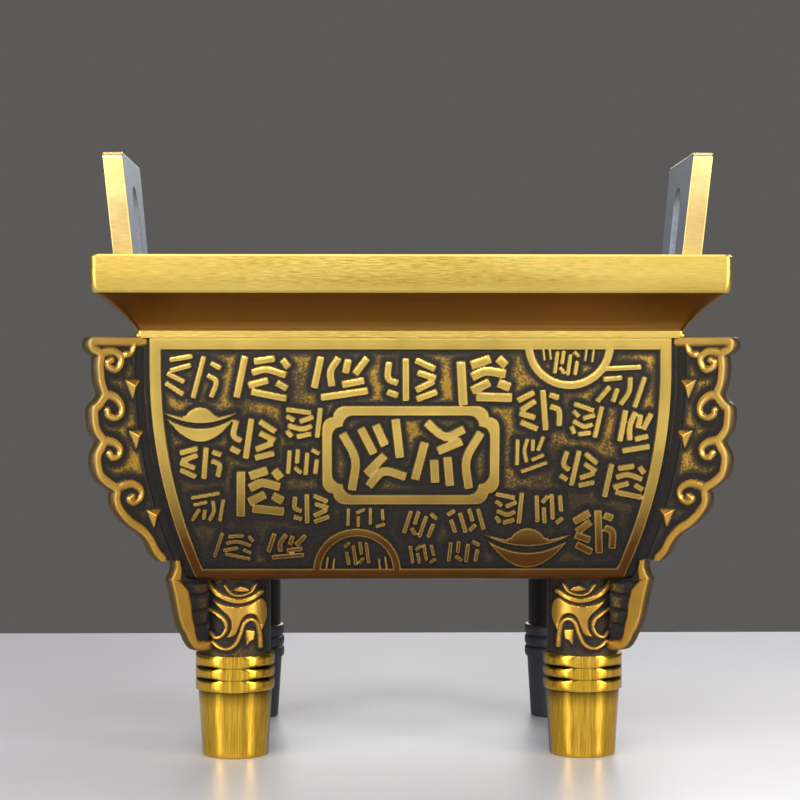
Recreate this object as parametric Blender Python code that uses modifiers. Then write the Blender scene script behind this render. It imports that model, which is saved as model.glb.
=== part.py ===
"""Cast brass incense burner in the form of a rectangular cauldron on four legs.

The body is one casting: a flared rim, a body with raised panels, and a scrolled wing
standing out at 45 degrees from each corner. Four legs, each with the lower end of its
corner's wing, are cast apart and fixed under the body. Two upright handles stand on
the short sides of the rim. Metres, +Z up, the origin on the floor under the middle.
"""

import math

import bmesh
import bpy
from mathutils import Matrix, Vector
from mathutils.geometry import intersect_line_line_2d

# Heights, from the floor up
LEG_CLEARANCE = 0.065
BODY_HEIGHT = 0.0858
MOULDING_STEP = 0.0012
COVE_HEIGHT = 0.0127
RIM_HEIGHT = 0.0131

# Rim and neck
RIM_LENGTH = 0.220
RIM_DEPTH = 0.1768
RIM_OVERHANG = 0.0154
RIM_CORNER_RADIUS = 0.0045
RIM_LIP = 0.0125
RIM_EDGE = 0.0007
RIM_TUCK = 0.0012
RIM_ROUND = 0.0029
COVE_SAG = 0.0008
NECK_STAND = 0.0010

# Body: a straight band under the neck, then an arc that draws in to the floor of the bowl
BODY_STRAIGHT = 0.0108
BODY_ARC_RADIUS = 0.195
BODY_CORNER_RADIUS = 0.0008
MOULDING_STAND = 0.0016
SEAM_RISE = 0.0075
WALL = 0.0038
BOWL_FLOOR = 0.005

# Panels on the four sides
RELIEF = 0.0011
COIN_RELIEF = 0.0010
SIGN_RELIEF = 0.0009
PANEL_MARGIN = 0.0038
FRAME_WIDTH = 0.0037
FRAME_HEIGHT = 0.0040
CARTOUCHE_LENGTH = 0.0617
CARTOUCHE_HEIGHT = 0.0344
CARTOUCHE_BAND = 0.0031
CARTOUCHE_NOTCH = 0.0056
CARTOUCHE_CUSP = 0.42
COIN_RADIUS = 0.0155
COIN_BAND = 0.0026
COIN_HOLE = 0.0105
END_COIN_RADIUS = 0.0200
INGOT_LENGTH = 0.0248
SIGN_STROKE = 0.14
SIGN_TILT = 0.07
SIGN_FILL = 0.90

# Corner wings
WING_REACH = 0.0180
WING_WEB = 0.0024
WING_BEAD = 0.0040
WING_BEAD_WIDTH = 0.0024
WING_ROOT = 0.0030
SCROLL_WIDTH = 0.0018
SCROLL_EYE = 0.0017
STUD_RISE = 0.0014
STUD_HALF_WIDTH = 0.0023
STUD_HALF_HEIGHT = 0.0032

# Legs
LEG_INSET = 0.0163
COLUMN_RADIUS = 0.0129
RING_RADIUS = 0.0144
RING_TOP = 0.0370
RING_HEIGHT = 0.0128
GROOVE_DEPTH = 0.0007
GROOVE_WIDTH = 0.0010
FOOT_TOP_RADIUS = 0.0134
FOOT_BOTTOM_RADIUS = 0.0119
FOOT_EDGE = 0.0006
LEG_WING_REACH = 0.0071
LEG_WING_RISE = 0.0021
MASK_RELIEF = 0.0008
MASK_ROOT = 0.0018
MASK_DEPTH = 0.0180

# Handles
HANDLE_HEIGHT = 0.0412
HANDLE_FOOT_WIDTH = 0.052
HANDLE_TOP_WIDTH = 0.058
HANDLE_THICKNESS = 0.0077
HANDLE_LEAN = 0.100
HANDLE_CORNER = 0.0022
HANDLE_EDGE = 0.0006
SLOT_WIDTH = 0.016
SLOT_HEIGHT = 0.0304

# Castings that touch keep this gap, and points nearer than the weld are one
FIT_GAP = 0.0003
WELD = 0.0000002

# Facets
CORNER_STEPS = 2
BODY_STEPS = 4
COVE_STEPS = 3
LEG_STEPS = 14
COIN_STEPS = 12
SCROLL_STEPS = 3
SLOT_STEPS = 6
BOW_ERROR = 0.00042

# Heights and offsets worked out from the sizes above
BODY_TOP = LEG_CLEARANCE + BODY_HEIGHT
NECK_Z = BODY_TOP + 2 * MOULDING_STEP
RIM_BOTTOM = NECK_Z + COVE_HEIGHT
RIM_TOP = RIM_BOTTOM + RIM_HEIGHT
BODY_LENGTH = RIM_LENGTH - 2 * RIM_OVERHANG
BODY_DEPTH = RIM_DEPTH - 2 * RIM_OVERHANG
CORNER_LINE_X = (BODY_LENGTH - BODY_DEPTH) / 2
PRISM_DEPTH = BODY_DEPTH / 3
SEAM_Z = LEG_CLEARANCE + SEAM_RISE
WING_TOP = BODY_TOP + MOULDING_STEP / 3


def fresh_collection(name):
    """A new collection in the scene."""
    made = bpy.data.collections.new(name)
    bpy.context.scene.collection.children.link(made)
    return made


def metal(name, colour, roughness):
    """A plain metal finish."""
    made = bpy.data.materials.new(name)
    made.use_nodes = True
    shader = made.node_tree.nodes["Principled BSDF"]
    shader.inputs["Base Color"].default_value = (*colour, 1)
    shader.inputs["Metallic"].default_value = 1.0
    shader.inputs["Roughness"].default_value = roughness
    return made


def new_object(name, mesh, collection):
    """An object that holds a mesh, in a collection."""
    made = bpy.data.objects.new(name, mesh)
    collection.objects.link(made)
    return made


def bake(thing):
    """Turns a curve, or a mesh with modifiers, into a plain welded mesh in world space."""
    bpy.context.view_layer.update()
    graph = bpy.context.evaluated_depsgraph_get()
    mesh = bpy.data.meshes.new_from_object(thing.evaluated_get(graph))
    mesh.transform(thing.matrix_world)
    work = bmesh.new()
    work.from_mesh(mesh)
    bmesh.ops.remove_doubles(work, verts=work.verts, dist=WELD)
    bmesh.ops.recalc_face_normals(work, faces=work.faces)
    work.to_mesh(mesh)
    work.free()
    name = thing.name
    home = thing.users_collection[0]
    bpy.data.objects.remove(thing)
    return new_object(name, mesh, home)


def combine(target, tool, operation):
    """The Boolean of two closed meshes. The tool is used up."""
    step = target.modifiers.new("combine", "BOOLEAN")
    step.operation = operation
    step.solver = "EXACT"
    step.object = tool
    made = bake(target)
    bpy.data.objects.remove(tool)
    return made


def loft(name, sections, collection, closed=False):
    """A solid through level sections. It has end caps, or is closed on itself as a ring."""
    work = bmesh.new()
    rings = [[work.verts.new(point) for point in level] for level in sections]
    pairs = list(zip(rings, rings[1:]))
    if closed:
        pairs.append((rings[-1], rings[0]))
    else:
        work.faces.new(rings[0])
        work.faces.new(rings[-1])
    for low, high in pairs:
        for i in range(len(low)):
            j = (i + 1) % len(low)
            work.faces.new((low[i], low[j], high[j], high[i]))
    bmesh.ops.recalc_face_normals(work, faces=work.faces)
    mesh = bpy.data.meshes.new(name)
    work.to_mesh(mesh)
    work.free()
    return new_object(name, mesh, collection)


def section(overhang, z, radius):
    """A level rounded rectangle that stands out by overhang from the body at its widest."""
    half_x = BODY_LENGTH / 2 + overhang
    half_y = BODY_DEPTH / 2 + overhang
    points = []
    for sign_x, sign_y, start in ((1, 1, 0), (-1, 1, 1), (-1, -1, 2), (1, -1, 3)):
        centre = Vector((sign_x * (half_x - radius), sign_y * (half_y - radius), z))
        for step in range(CORNER_STEPS + 1):
            angle = (start + step / CORNER_STEPS) * math.pi / 2
            points.append(centre + radius * Vector((math.cos(angle), math.sin(angle), 0)))
    return points


def body_inset(z):
    """How far the body's side has drawn in at height z."""
    drop = max(0.0, BODY_TOP - BODY_STRAIGHT - z)
    return BODY_ARC_RADIUS - math.sqrt(BODY_ARC_RADIUS**2 - drop**2)


def body_heights(low):
    """Heights of the body's sections, from low up to the body's top."""
    bend = BODY_TOP - BODY_STRAIGHT
    heights = [low + (bend - low) * step / BODY_STEPS for step in range(BODY_STEPS + 1)]
    return heights + [BODY_TOP]


def body_sections(stand, low):
    """The body's outer sections from low to its top, moved out by stand."""
    return [section(stand - body_inset(z), z, BODY_CORNER_RADIUS) for z in body_heights(low)]


def cove_sections(inner, outer, low, high, radius):
    """Sections of the hollow flare between neck and rim."""
    made = []
    for step in range(1, COVE_STEPS):
        share = step / COVE_STEPS
        sag = COVE_SAG * 4 * share * (1 - share) / math.sqrt(2)
        overhang = inner + (outer - inner) * share - sag
        made.append(section(overhang, low + (high - low) * share + sag, radius))
    return made


def arc_points(knots, scale=1.0):
    """Points along a path of (x, y, bulge) knots. Bulge is the bow over the half chord."""
    points = []
    for (x0, y0, bulge), (x1, y1, _) in zip(knots, knots[1:]):
        points.append((x0, y0))
        bow = abs(bulge) * math.dist((x0, y0), (x1, y1)) / 2 * scale
        steps = max(1, math.ceil(math.sqrt(bow / BOW_ERROR)))
        for step in range(1, steps):
            share = step / steps
            sag = bulge * 2 * share * (1 - share)
            points.append((x0 + (x1 - x0) * share - (y1 - y0) * sag,
                           y0 + (y1 - y0) * share + (x1 - x0) * sag))
    return points + [knots[-1][:2]]


def side_normals(path):
    """Unit normals to the left of a path at each of its points."""
    made = []
    for before, after in zip([path[0]] + path[:-1], path[1:] + [path[-1]]):
        along = Vector((after[0] - before[0], after[1] - before[1])).normalized()
        made.append(Vector((-along.y, along.x)))
    return made


def ribbon(path, width):
    """Outline of a strip of even width along a path."""
    left = []
    right = []
    for point, normal in zip(path, side_normals(path)):
        left.append(tuple(Vector(point) + normal * width / 2))
        right.append(tuple(Vector(point) - normal * width / 2))
    return left + right[::-1]


def curl(start, centre, radius, turn, points):
    """A path from start that winds into a shrinking spiral round a centre, like a scroll's end."""
    begin = math.atan2(start[1] - centre[1], start[0] - centre[0])
    first = math.dist(start, centre)
    path = []
    for step in range(points + 1):
        share = step / points
        angle = begin + turn * share
        reach = first + (radius - first) * share
        path.append((centre[0] + reach * math.cos(angle), centre[1] + reach * math.sin(angle)))
    return path


def sheet_piece(name, outlines, thickness, matrix, collection):
    """A flat piece of even thickness cut to closed outlines, those inside others being holes."""
    curve = bpy.data.curves.new(name, "CURVE")
    curve.dimensions = "2D"
    curve.fill_mode = "BOTH"
    curve.extrude = thickness / 2
    for outline in outlines:
        spline = curve.splines.new("POLY")
        spline.points.add(len(outline) - 1)
        for point, (x, y) in zip(spline.points, outline):
            point.co = (x, y, 0, 1)
        spline.use_cyclic_u = True
    piece = new_object(name, curve, collection)
    piece.matrix_world = matrix
    return bake(piece)


def frame_matrix(origin, across, up):
    """A matrix whose local x is across and local y is up. Local z, the thickness, follows."""
    through = Vector(across).cross(Vector(up))
    turned = Matrix((Vector(across), Vector(up), through)).transposed()
    return Matrix.Translation(origin) @ turned.to_4x4()


def gathered(name, things):
    """One mesh object that holds several closed bodies which don't touch."""
    work = bmesh.new()
    for thing in things:
        work.from_mesh(thing.data)
        bpy.data.objects.remove(thing)
    mesh = bpy.data.meshes.new(name)
    work.to_mesh(mesh)
    work.free()
    return new_object(name, mesh, CUTTERS)


def mirrored(thing, name, flip_x, flip_y, collection):
    """A copy of a mesh object, reflected in the planes asked for."""
    mesh = thing.data.copy()
    mesh.transform(Matrix.Diagonal((-1 if flip_x else 1, -1 if flip_y else 1, 1, 1)))
    if flip_x != flip_y:
        mesh.flip_normals()
    return new_object(name, mesh, collection)


for old in list(bpy.data.objects):
    bpy.data.objects.remove(old, do_unlink=True)
BURNER = fresh_collection("incense_burner")
CUTTERS = fresh_collection("cutters")
BRASS = metal("antique_brass", (0.62, 0.45, 0.16), 0.35)


# Vessel: rim, neck, body and bowl in one wall
def vessel_shell():
    """The hollow casting without its panels and wings."""
    lip_inner = RIM_OVERHANG - RIM_LIP
    rim = RIM_CORNER_RADIUS
    tight = BODY_CORNER_RADIUS
    outside = body_sections(0, LEG_CLEARANCE)
    outside.append(section(MOULDING_STAND, BODY_TOP, tight * 2))
    outside.append(section(MOULDING_STAND, BODY_TOP + MOULDING_STEP, tight * 2))
    outside.append(section(NECK_STAND, BODY_TOP + MOULDING_STEP, rim))
    outside.append(section(NECK_STAND, NECK_Z, rim))
    outside += cove_sections(NECK_STAND, RIM_OVERHANG - RIM_TUCK, NECK_Z, RIM_BOTTOM, rim)
    outside.append(section(RIM_OVERHANG - RIM_TUCK, RIM_BOTTOM, rim))
    outside.append(section(RIM_OVERHANG - RIM_TUCK / 4, RIM_BOTTOM + RIM_ROUND, rim))
    outside.append(section(RIM_OVERHANG, RIM_BOTTOM + RIM_HEIGHT / 2, rim))
    outside.append(section(RIM_OVERHANG, RIM_TOP - RIM_EDGE, rim))
    outside.append(section(RIM_OVERHANG - RIM_EDGE, RIM_TOP, rim))
    inside = [
        section(lip_inner + RIM_EDGE, RIM_TOP, tight * 2),
        section(lip_inner, RIM_TOP - RIM_EDGE, tight * 2),
        section(lip_inner, RIM_BOTTOM + RIM_HEIGHT / 2, tight * 2),
    ]
    bowl_low = LEG_CLEARANCE + BOWL_FLOOR
    inside += body_sections(-WALL, bowl_low)[::-1]
    return loft("vessel", outside + inside, BURNER)


def body_skin(stand):
    """A closed band that reaches from half way into the wall to stand outside it."""
    low = LEG_CLEARANCE
    outer = body_sections(stand, low)
    inner = body_sections(-WALL / 2, low)
    return loft("skin", outer + inner[::-1], CUTTERS, closed=True)


# Panels: each is drawn flat, in its own x and height, and pressed on to the curved side
def panel_frame(half_width):
    """Outer and inner outline of a panel's raised frame."""
    low = LEG_CLEARANCE
    top = BODY_TOP
    heights = [low + (top - low) * step / BODY_STEPS for step in range(BODY_STEPS + 1)]
    inner_low = low + FRAME_HEIGHT
    inner_top = top - FRAME_HEIGHT
    inner_heights = [inner_low + (inner_top - inner_low) * step / BODY_STEPS
                     for step in range(BODY_STEPS + 1)]
    edge = [(half_width - PANEL_MARGIN - body_inset(z), z) for z in heights]
    inner = [(half_width - PANEL_MARGIN - FRAME_WIDTH - body_inset(z), z) for z in inner_heights]
    return [edge + [(-x, z) for x, z in edge[::-1]], inner + [(-x, z) for x, z in inner[::-1]]]


def notched_rectangle(half_x, half_z, notch, centre_z):
    """A rectangle whose corners are two round steps meeting in a cusp."""
    cusp = notch * CARTOUCHE_CUSP
    quarter_turn = -math.tan(math.pi / 8)
    corner = arc_points([
        (half_x, half_z - notch, quarter_turn),
        (half_x - cusp, half_z - cusp, quarter_turn),
        (half_x - notch, half_z, 0),
    ])
    points = []
    for sign_x, sign_z in ((1, 1), (-1, 1), (-1, -1), (1, -1)):
        flipped = [(sign_x * x, centre_z + sign_z * z) for x, z in corner]
        points += flipped if sign_x == sign_z else flipped[::-1]
    return points


def cartouche(centre_z):
    """Outlines of the notched frame in the middle of a long panel."""
    half_x = CARTOUCHE_LENGTH / 2
    half_z = CARTOUCHE_HEIGHT / 2
    return [
        notched_rectangle(half_x, half_z, CARTOUCHE_NOTCH, centre_z),
        notched_rectangle(half_x - CARTOUCHE_BAND, half_z - CARTOUCHE_BAND,
                          CARTOUCHE_NOTCH, centre_z),
    ]


def coin_arc(x, z, start, end):
    """Outline of a stretch of a coin's rim, between two angles in degrees."""
    steps = COIN_STEPS // 2
    path = []
    for step in range(steps + 1):
        angle = math.radians(start + (end - start) * step / steps)
        reach = COIN_RADIUS - COIN_BAND / 2
        path.append((x + reach * math.cos(angle), z + reach * math.sin(angle)))
    return ribbon(path, COIN_BAND)


def ingot(x, z, length):
    """Outlines of a boat-shaped ingot: the hull, and the brim with its dome, shares of half its length."""
    half = length / 2
    hull = arc_points([(-0.92, 0.12, -0.68), (0.92, 0.12, 0.30), (-0.92, 0.12, 0)], half)[:-1]
    brim = arc_points([(-1, 0.28, -0.26), (1, 0.28, 0)], half)
    dome = [(0.40, 0.22), (0.20, 0.48), (-0.20, 0.48), (-0.40, 0.22)]
    return [[(x + px * half, z + pz * half) for px, pz in outline] for outline in (hull, brim + dome)]


# Strokes of made-up signs in a unit square, none of them touching
SIGN_STROKES = (
    (((0.14, 0.46), (0.08, -0.46)), ((-0.44, -0.22), (-0.10, -0.38))),
    (((-0.32, 0.44), (-0.40, -0.42)), ((-0.14, -0.30), (0.44, -0.40))),
    (((-0.44, 0.28), (0.28, 0.42)), ((0.40, 0.20), (0.30, -0.44))),
)
LARGE_SIGN = (
    ((-0.42, 0.40), (-0.30, 0.0), (-0.44, -0.42)), ((0.40, 0.42), (0.34, -0.06)),
    ((-0.02, 0.36), (0.06, -0.04)), ((-0.10, -0.38), (0.14, -0.22), (0.40, -0.38)),
)
# Signs of the front panel: x from the middle, height, width and tallness, as shares of its length and height
FRONT_SIGNS = (
    (-0.402, 0.843, 0.109, 0.19), (-0.275, 0.835, 0.113, 0.20), (-0.132, 0.837, 0.122, 0.20),
    (0.001, 0.831, 0.104, 0.19), (0.132, 0.823, 0.113, 0.21), (0.391, 0.810, 0.100, 0.20),
    (-0.290, 0.589, 0.091, 0.18), (-0.196, 0.656, 0.077, 0.14), (-0.199, 0.494, 0.068, 0.12),
    (0.237, 0.703, 0.086, 0.18), (0.325, 0.666, 0.063, 0.15), (0.413, 0.615, 0.068, 0.20),
    (-0.389, 0.490, 0.086, 0.14), (-0.281, 0.366, 0.100, 0.22), (0.220, 0.523, 0.068, 0.16),
    (0.312, 0.466, 0.073, 0.16), (0.395, 0.412, 0.086, 0.16), (-0.375, 0.310, 0.073, 0.14),
    (-0.185, 0.302, 0.073, 0.13), (-0.083, 0.264, 0.086, 0.09), (0.018, 0.235, 0.063, 0.12),
    (0.103, 0.250, 0.073, 0.11), (0.184, 0.304, 0.059, 0.15), (0.258, 0.300, 0.059, 0.14),
    (0.343, 0.200, 0.082, 0.20), (-0.331, 0.142, 0.082, 0.12), (-0.233, 0.142, 0.082, 0.12),
    (0.023, 0.110, 0.054, 0.09), (0.100, 0.119, 0.068, 0.10),
)
CARTOUCHE_SHARE = 0.521
# The cartouche's two signs: x and the turn of each, and their size, as shares of the cartouche
CARTOUCHE_SIGNS = ((-0.21, 0.2), (0.21, math.pi - 0.2))
CARTOUCHE_SIGN_SIZE = (0.38, 0.74)
COIN_SHARES = ((0.292, 0.973, 180), (-0.100, 0.036, 0))
INGOT_SHARES = ((-0.388, 0.652, 1.0), (0.219, 0.140, 1.2))


def sign(strokes, spin, x, z, width, tall):
    """Outlines of one sign's strokes, turned by spin radians before they are stretched to size."""
    turn = Matrix.Rotation(spin, 2)
    outlines = []
    for stroke in strokes:
        path = [turn @ Vector(point) * SIGN_FILL for point in stroke]
        outlines.append(ribbon([(x + p.x * width, z + p.y * tall) for p in path],
                               SIGN_STROKE * (width * tall) ** 0.5))
    return outlines


def placed(share_x, share_z):
    """A point of a long panel, from shares of the body's length and height."""
    return share_x * BODY_LENGTH, LEG_CLEARANCE + share_z * BODY_HEIGHT


def frame_outlines():
    """The frame and the cartouche of a long side."""
    return panel_frame(BODY_LENGTH / 2) + cartouche(placed(0, CARTOUCHE_SHARE)[1])


def coin_outlines():
    """The front's two coins, each cut in half by the frame, and its two ingots."""
    outlines = []
    for share_x, share_z, start in COIN_SHARES:
        outlines.append(coin_arc(*placed(share_x, share_z), start, start + 180))
    for share_x, share_z, size in INGOT_SHARES:
        outlines += ingot(*placed(share_x, share_z), INGOT_LENGTH * size)
    return outlines


def sign_outlines():
    """The signs scattered over the front, and the two large ones in the cartouche."""
    outlines = []
    for index, (share_x, share_z, width, tall) in enumerate(FRONT_SIGNS):
        strokes = SIGN_STROKES[index % len(SIGN_STROKES)]
        spin = index // 2 % 2 * math.pi + (index % 5 - 2) * SIGN_TILT
        outlines += sign(strokes, spin, *placed(share_x, share_z),
                         width * BODY_LENGTH, tall * BODY_HEIGHT)
    width, tall = CARTOUCHE_SIGN_SIZE
    for share_x, spin in CARTOUCHE_SIGNS:
        outlines += sign(LARGE_SIGN, spin, share_x * CARTOUCHE_LENGTH, placed(0, CARTOUCHE_SHARE)[1],
                         width * CARTOUCHE_LENGTH, tall * CARTOUCHE_HEIGHT)
    return outlines


def end_outlines():
    """The raised shapes of a short side: its frame, and one whole coin with a square hole."""
    centre = LEG_CLEARANCE + BODY_HEIGHT * CARTOUCHE_SHARE
    rim = []
    inner = []
    for step in range(COIN_STEPS):
        angle = 2 * math.pi * step / COIN_STEPS
        for ring, reach in ((rim, END_COIN_RADIUS), (inner, END_COIN_RADIUS - COIN_BAND)):
            ring.append((reach * math.cos(angle), centre + reach * math.sin(angle)))
    square = ((1, 1), (-1, 1), (-1, -1), (1, -1))
    hole = [[(side * x, centre + side * z) for x, z in square]
            for side in (COIN_HOLE / 2 + COIN_BAND / 2, COIN_HOLE / 2)]
    return panel_frame(BODY_DEPTH / 2) + [rim, inner] + hole


def relief(outlines, height, across, outward):
    """Flat shapes made to stand out by a height from the side of the body that faces outward."""
    face = (BODY_LENGTH if across[1] else BODY_DEPTH) / 2 + RELIEF * 2
    middle = Vector(outward) * (face - PRISM_DEPTH / 2)
    matrix = frame_matrix(middle, across, (0, 0, 1))
    prisms = sheet_piece("relief", outlines, PRISM_DEPTH, matrix, CUTTERS)
    return combine(prisms, body_skin(height), "INTERSECT")


FRONT = ((1, 0, 0), (0, -1, 0))
BACK = ((-1, 0, 0), (0, 1, 0))
RIGHT = ((0, 1, 0), (1, 0, 0))
LEFT = ((0, -1, 0), (-1, 0, 0))


# Wings: drawn in the upright plane through a corner, as distance along x from the body's middle line.
# Knots of the scalloped edge, top to seam: reach and height as shares, and how far the next arc bows out
WING_KNOTS = (
    (0.76, 1.000, 0.80), (0.76, 0.912, 0.11), (0.70, 0.746, 0.35), (0.805, 0.538, 0.42),
    (0.74, 0.320, 0.27), (0.66, 0.166, -0.17), (0.42, 0.045, 0.15), (0.34, -0.01, 0),
)
# Scrolls in the wing's face: start and centre as (reach, height) shares, and the turn they wind through
WING_SCROLLS = (
    ((0.705, 0.916), (0.470, 0.886), 5.0), ((0.70, 0.723), (0.490, 0.682), 4.9),
    ((0.75, 0.540), (0.560, 0.504), 4.7), ((0.66, 0.333), (0.432, 0.309), 5.0),
)
# Studs, point down: the middle as (reach, height) shares
WING_STUDS = ((0.16, 0.766), (0.18, 0.545), (0.19, 0.190))


def corner_reach(z):
    """The body corner's distance from its middle line at height z, along x and y alike."""
    return BODY_DEPTH / 2 - body_inset(z)


def wing_point(reach, height):
    """A point of the wing's plane, from shares of the wing's reach and height."""
    z = SEAM_Z + (WING_TOP - SEAM_Z) * height
    return corner_reach(z) + WING_REACH * reach, z


def wing_matrix():
    """Places the wing's plane on the diagonal. Distances in it are measured along x, so it stretches."""
    stretch = Matrix.Diagonal((math.sqrt(2), 1, 1, 1))
    diagonal = Vector((1, 1, 0)).normalized()
    return frame_matrix((CORNER_LINE_X, 0, 0), diagonal, (0, 0, 1)) @ stretch


def without_loops(path):
    """A path cut short wherever it crosses itself, so that the loop between falls out."""
    made = [path[0]]
    index = 1
    while index < len(path):
        following = index + 1
        point = path[index]
        for later in range(len(path) - 1, index + 1, -1):
            meeting = intersect_line_line_2d(made[-1], point, path[later - 1], path[later])
            if meeting is not None:
                point = tuple(meeting)
                following = later
                break
        made.append(point)
        index = following
    return made


def inset_outline(path, width):
    """A path moved to its right by a true width, for a path drawn in the wing's plane."""
    return without_loops([(x - normal.x * width / math.sqrt(2), z - normal.y * width)
                          for (x, z), normal in zip(path, side_normals(path))])


def clamped(path, low, high):
    """A path with its heights held between two levels."""
    return [(x, min(max(z, low), high)) for x, z in path]


def wing_edge():
    """The wing's scalloped outer edge, from its top down to the seam."""
    knots = []
    for reach, height, bulge in WING_KNOTS:
        knots.append((*wing_point(reach, height), bulge))
    return arc_points(knots)


def plane_piece(name, outlines, thickness):
    """A flat piece in the wing's plane."""
    piece = sheet_piece(name, outlines, thickness, Matrix.Identity(4), CUTTERS)
    piece.data.transform(wing_matrix())
    return piece


def studs():
    """Three-sided studs on both faces of a wing, set a little way into the web."""
    work = bmesh.new()
    side, tall = STUD_HALF_WIDTH, STUD_HALF_HEIGHT
    for reach, height in WING_STUDS:
        x, z = wing_point(reach, height)
        for face in (-1, 1):
            depths = (face * WING_WEB / 4, face * (WING_WEB / 2 + STUD_RISE / 6))
            low, high = [[work.verts.new(corner) for corner in
                          ((x - side, z + tall, depth), (x + side, z + tall, depth), (x, z - tall, depth))]
                         for depth in depths]
            peak = work.verts.new((x, z + tall / 3, face * (WING_WEB / 2 + STUD_RISE)))
            work.faces.new(low)
            for i in range(3):
                j = (i + 1) % 3
                work.faces.new((low[i], low[j], high[j], high[i]))
                work.faces.new((high[i], high[j], peak))
    bmesh.ops.recalc_face_normals(work, faces=work.faces)
    mesh = bpy.data.meshes.new("studs")
    work.to_mesh(mesh)
    work.free()
    mesh.transform(wing_matrix())
    return new_object("studs", mesh, CUTTERS)


def beaded_wing(edge, root, low, high):
    """A web out to the edge, with a thicker bead along the edge on both faces."""
    bead = clamped(edge + inset_outline(edge, WING_BEAD_WIDTH)[::-1], low, high)
    web = clamped(inset_outline(edge, WING_BEAD_WIDTH / 2), low + FIT_GAP, high - FIT_GAP)
    wing = plane_piece("web", [web + clamped(root, low + FIT_GAP, web[0][1])], WING_WEB)
    return combine(wing, plane_piece("bead", [bead], WING_BEAD), "UNION")


def body_wing():
    """One corner's wing with its scrolls and studs."""
    top = (corner_reach(WING_TOP) - WING_ROOT, WING_TOP)
    steps = [SEAM_Z + (WING_TOP - SEAM_Z) * step / BODY_STEPS for step in range(BODY_STEPS + 1)]
    root = [(corner_reach(z) - WING_ROOT, z) for z in steps]
    wing = beaded_wing([top] + wing_edge(), root[:-1], SEAM_Z, WING_TOP)
    scrolls = []
    for start, centre, turn in WING_SCROLLS:
        path = curl(wing_point(*start), wing_point(*centre), SCROLL_EYE, turn, SCROLL_STEPS)
        scrolls.append(plane_piece("scroll", [ribbon(path, SCROLL_WIDTH)], WING_BEAD - FIT_GAP))
    return combine(wing, gathered("details", scrolls + [studs()]), "UNION")


def build_vessel():
    """The whole upper casting."""
    vessel = vessel_shell()
    frames = [relief(frame_outlines(), RELIEF, *side) for side in (FRONT, BACK)]
    frames += [relief(end_outlines(), RELIEF, *side) for side in (RIGHT, LEFT)]
    vessel = combine(vessel, gathered("frames", frames), "UNION")
    vessel = combine(vessel, relief(coin_outlines(), COIN_RELIEF, *FRONT), "UNION")
    vessel = combine(vessel, relief(sign_outlines(), SIGN_RELIEF, *FRONT), "UNION")
    wing = body_wing()
    copies = [mirrored(wing, "wing", flip_x, flip_y, CUTTERS)
              for flip_x in (False, True) for flip_y in (False, True)]
    bpy.data.objects.remove(wing)
    return combine(vessel, gathered("wings", copies), "UNION")


# Legs
def leg_profile():
    """Radius and height down a leg, from its top to the sole."""
    ring_low = RING_TOP - RING_HEIGHT
    ring_in = RING_RADIUS - GROOVE_DEPTH
    above_seat = LEG_CLEARANCE + 2 * FIT_GAP
    profile = [(0, above_seat), (COLUMN_RADIUS, above_seat),
               (COLUMN_RADIUS, RING_TOP), (RING_RADIUS, RING_TOP)]
    for groove in (1, 2):
        z = RING_TOP - RING_HEIGHT * groove / 3
        profile += [(RING_RADIUS, z + GROOVE_WIDTH / 2), (ring_in, z), (RING_RADIUS, z - GROOVE_WIDTH / 2)]
    profile += [(RING_RADIUS, ring_low), (FOOT_TOP_RADIUS, ring_low),
                (FOOT_BOTTOM_RADIUS, FOOT_EDGE), (FOOT_BOTTOM_RADIUS - FOOT_EDGE, 0), (0, 0)]
    return profile


def turned(name, profile, centre):
    """A round solid turned from a profile of (radius, height) points, top to bottom."""
    mesh = bpy.data.meshes.new(name)
    points = [(radius, 0, z) for radius, z in profile]
    mesh.from_pydata(points, [(i, i + 1) for i in range(len(points) - 1)], [])
    piece = new_object(name, mesh, CUTTERS)
    piece.location = (*centre, 0)
    screw = piece.modifiers.new("turn", "SCREW")
    screw.steps = LEG_STEPS
    screw.render_steps = LEG_STEPS
    screw.use_merge_vertices = True
    screw.merge_threshold = 0.00001
    return bake(piece)


def leg_centre():
    """The leg's axis, set in from the body's lower corner along x and y alike."""
    inset = body_inset(LEG_CLEARANCE) + LEG_INSET
    return BODY_LENGTH / 2 - inset, BODY_DEPTH / 2 - inset


# Knots of the leg's part of the wing, top to bottom, as shares of its reach past the body's lower corner
LEG_WING_KNOTS = (
    (0.69, 1.01, 0), (0.63, 0.924, 0), (0.83, 0.80, 0.06), (0.35, 0.278, 0.10), (-0.33, 0.018, 0),
    (-1.35, 0.0, 0),
)


def leg_wing():
    """The lower end of the corner's wing, which runs down the outer edge of the leg."""
    low = RING_TOP + LEG_WING_RISE
    high = SEAM_Z - FIT_GAP
    corner = corner_reach(LEG_CLEARANCE)
    knots = [(corner + LEG_WING_REACH * reach, low + (high - low) * height, bulge)
             for reach, height, bulge in LEG_WING_KNOTS]
    edge = arc_points(knots)
    inside = edge[-1][0]
    return beaded_wing(edge, [(inside, low), (inside, high)], low, high)


# The mask on a leg, seen square on to one side: shares of the column's radius and of the mask's height
MASK_LINES = (
    (((-0.72, 0.90), (0.0, 0.74), (0.86, 0.82)), 0.11),
    (((-0.78, 0.56), (-0.36, 0.36), (-0.72, 0.20)), 0.10),
    (((-0.62, 0.10), (-0.04, 0.10), (0.30, 0.38), (0.74, 0.10)), 0.10),
)
MASK_FACE = ((-0.52, 0.68), (0.16, 0.58), (0.84, 0.67), (0.76, 0.50), (0.26, 0.46), (-0.16, 0.24))
MASK_EYE = ((-0.06, 0.90), (0.18, 0.84), (0.42, 0.90), (0.18, 0.96))


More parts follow.
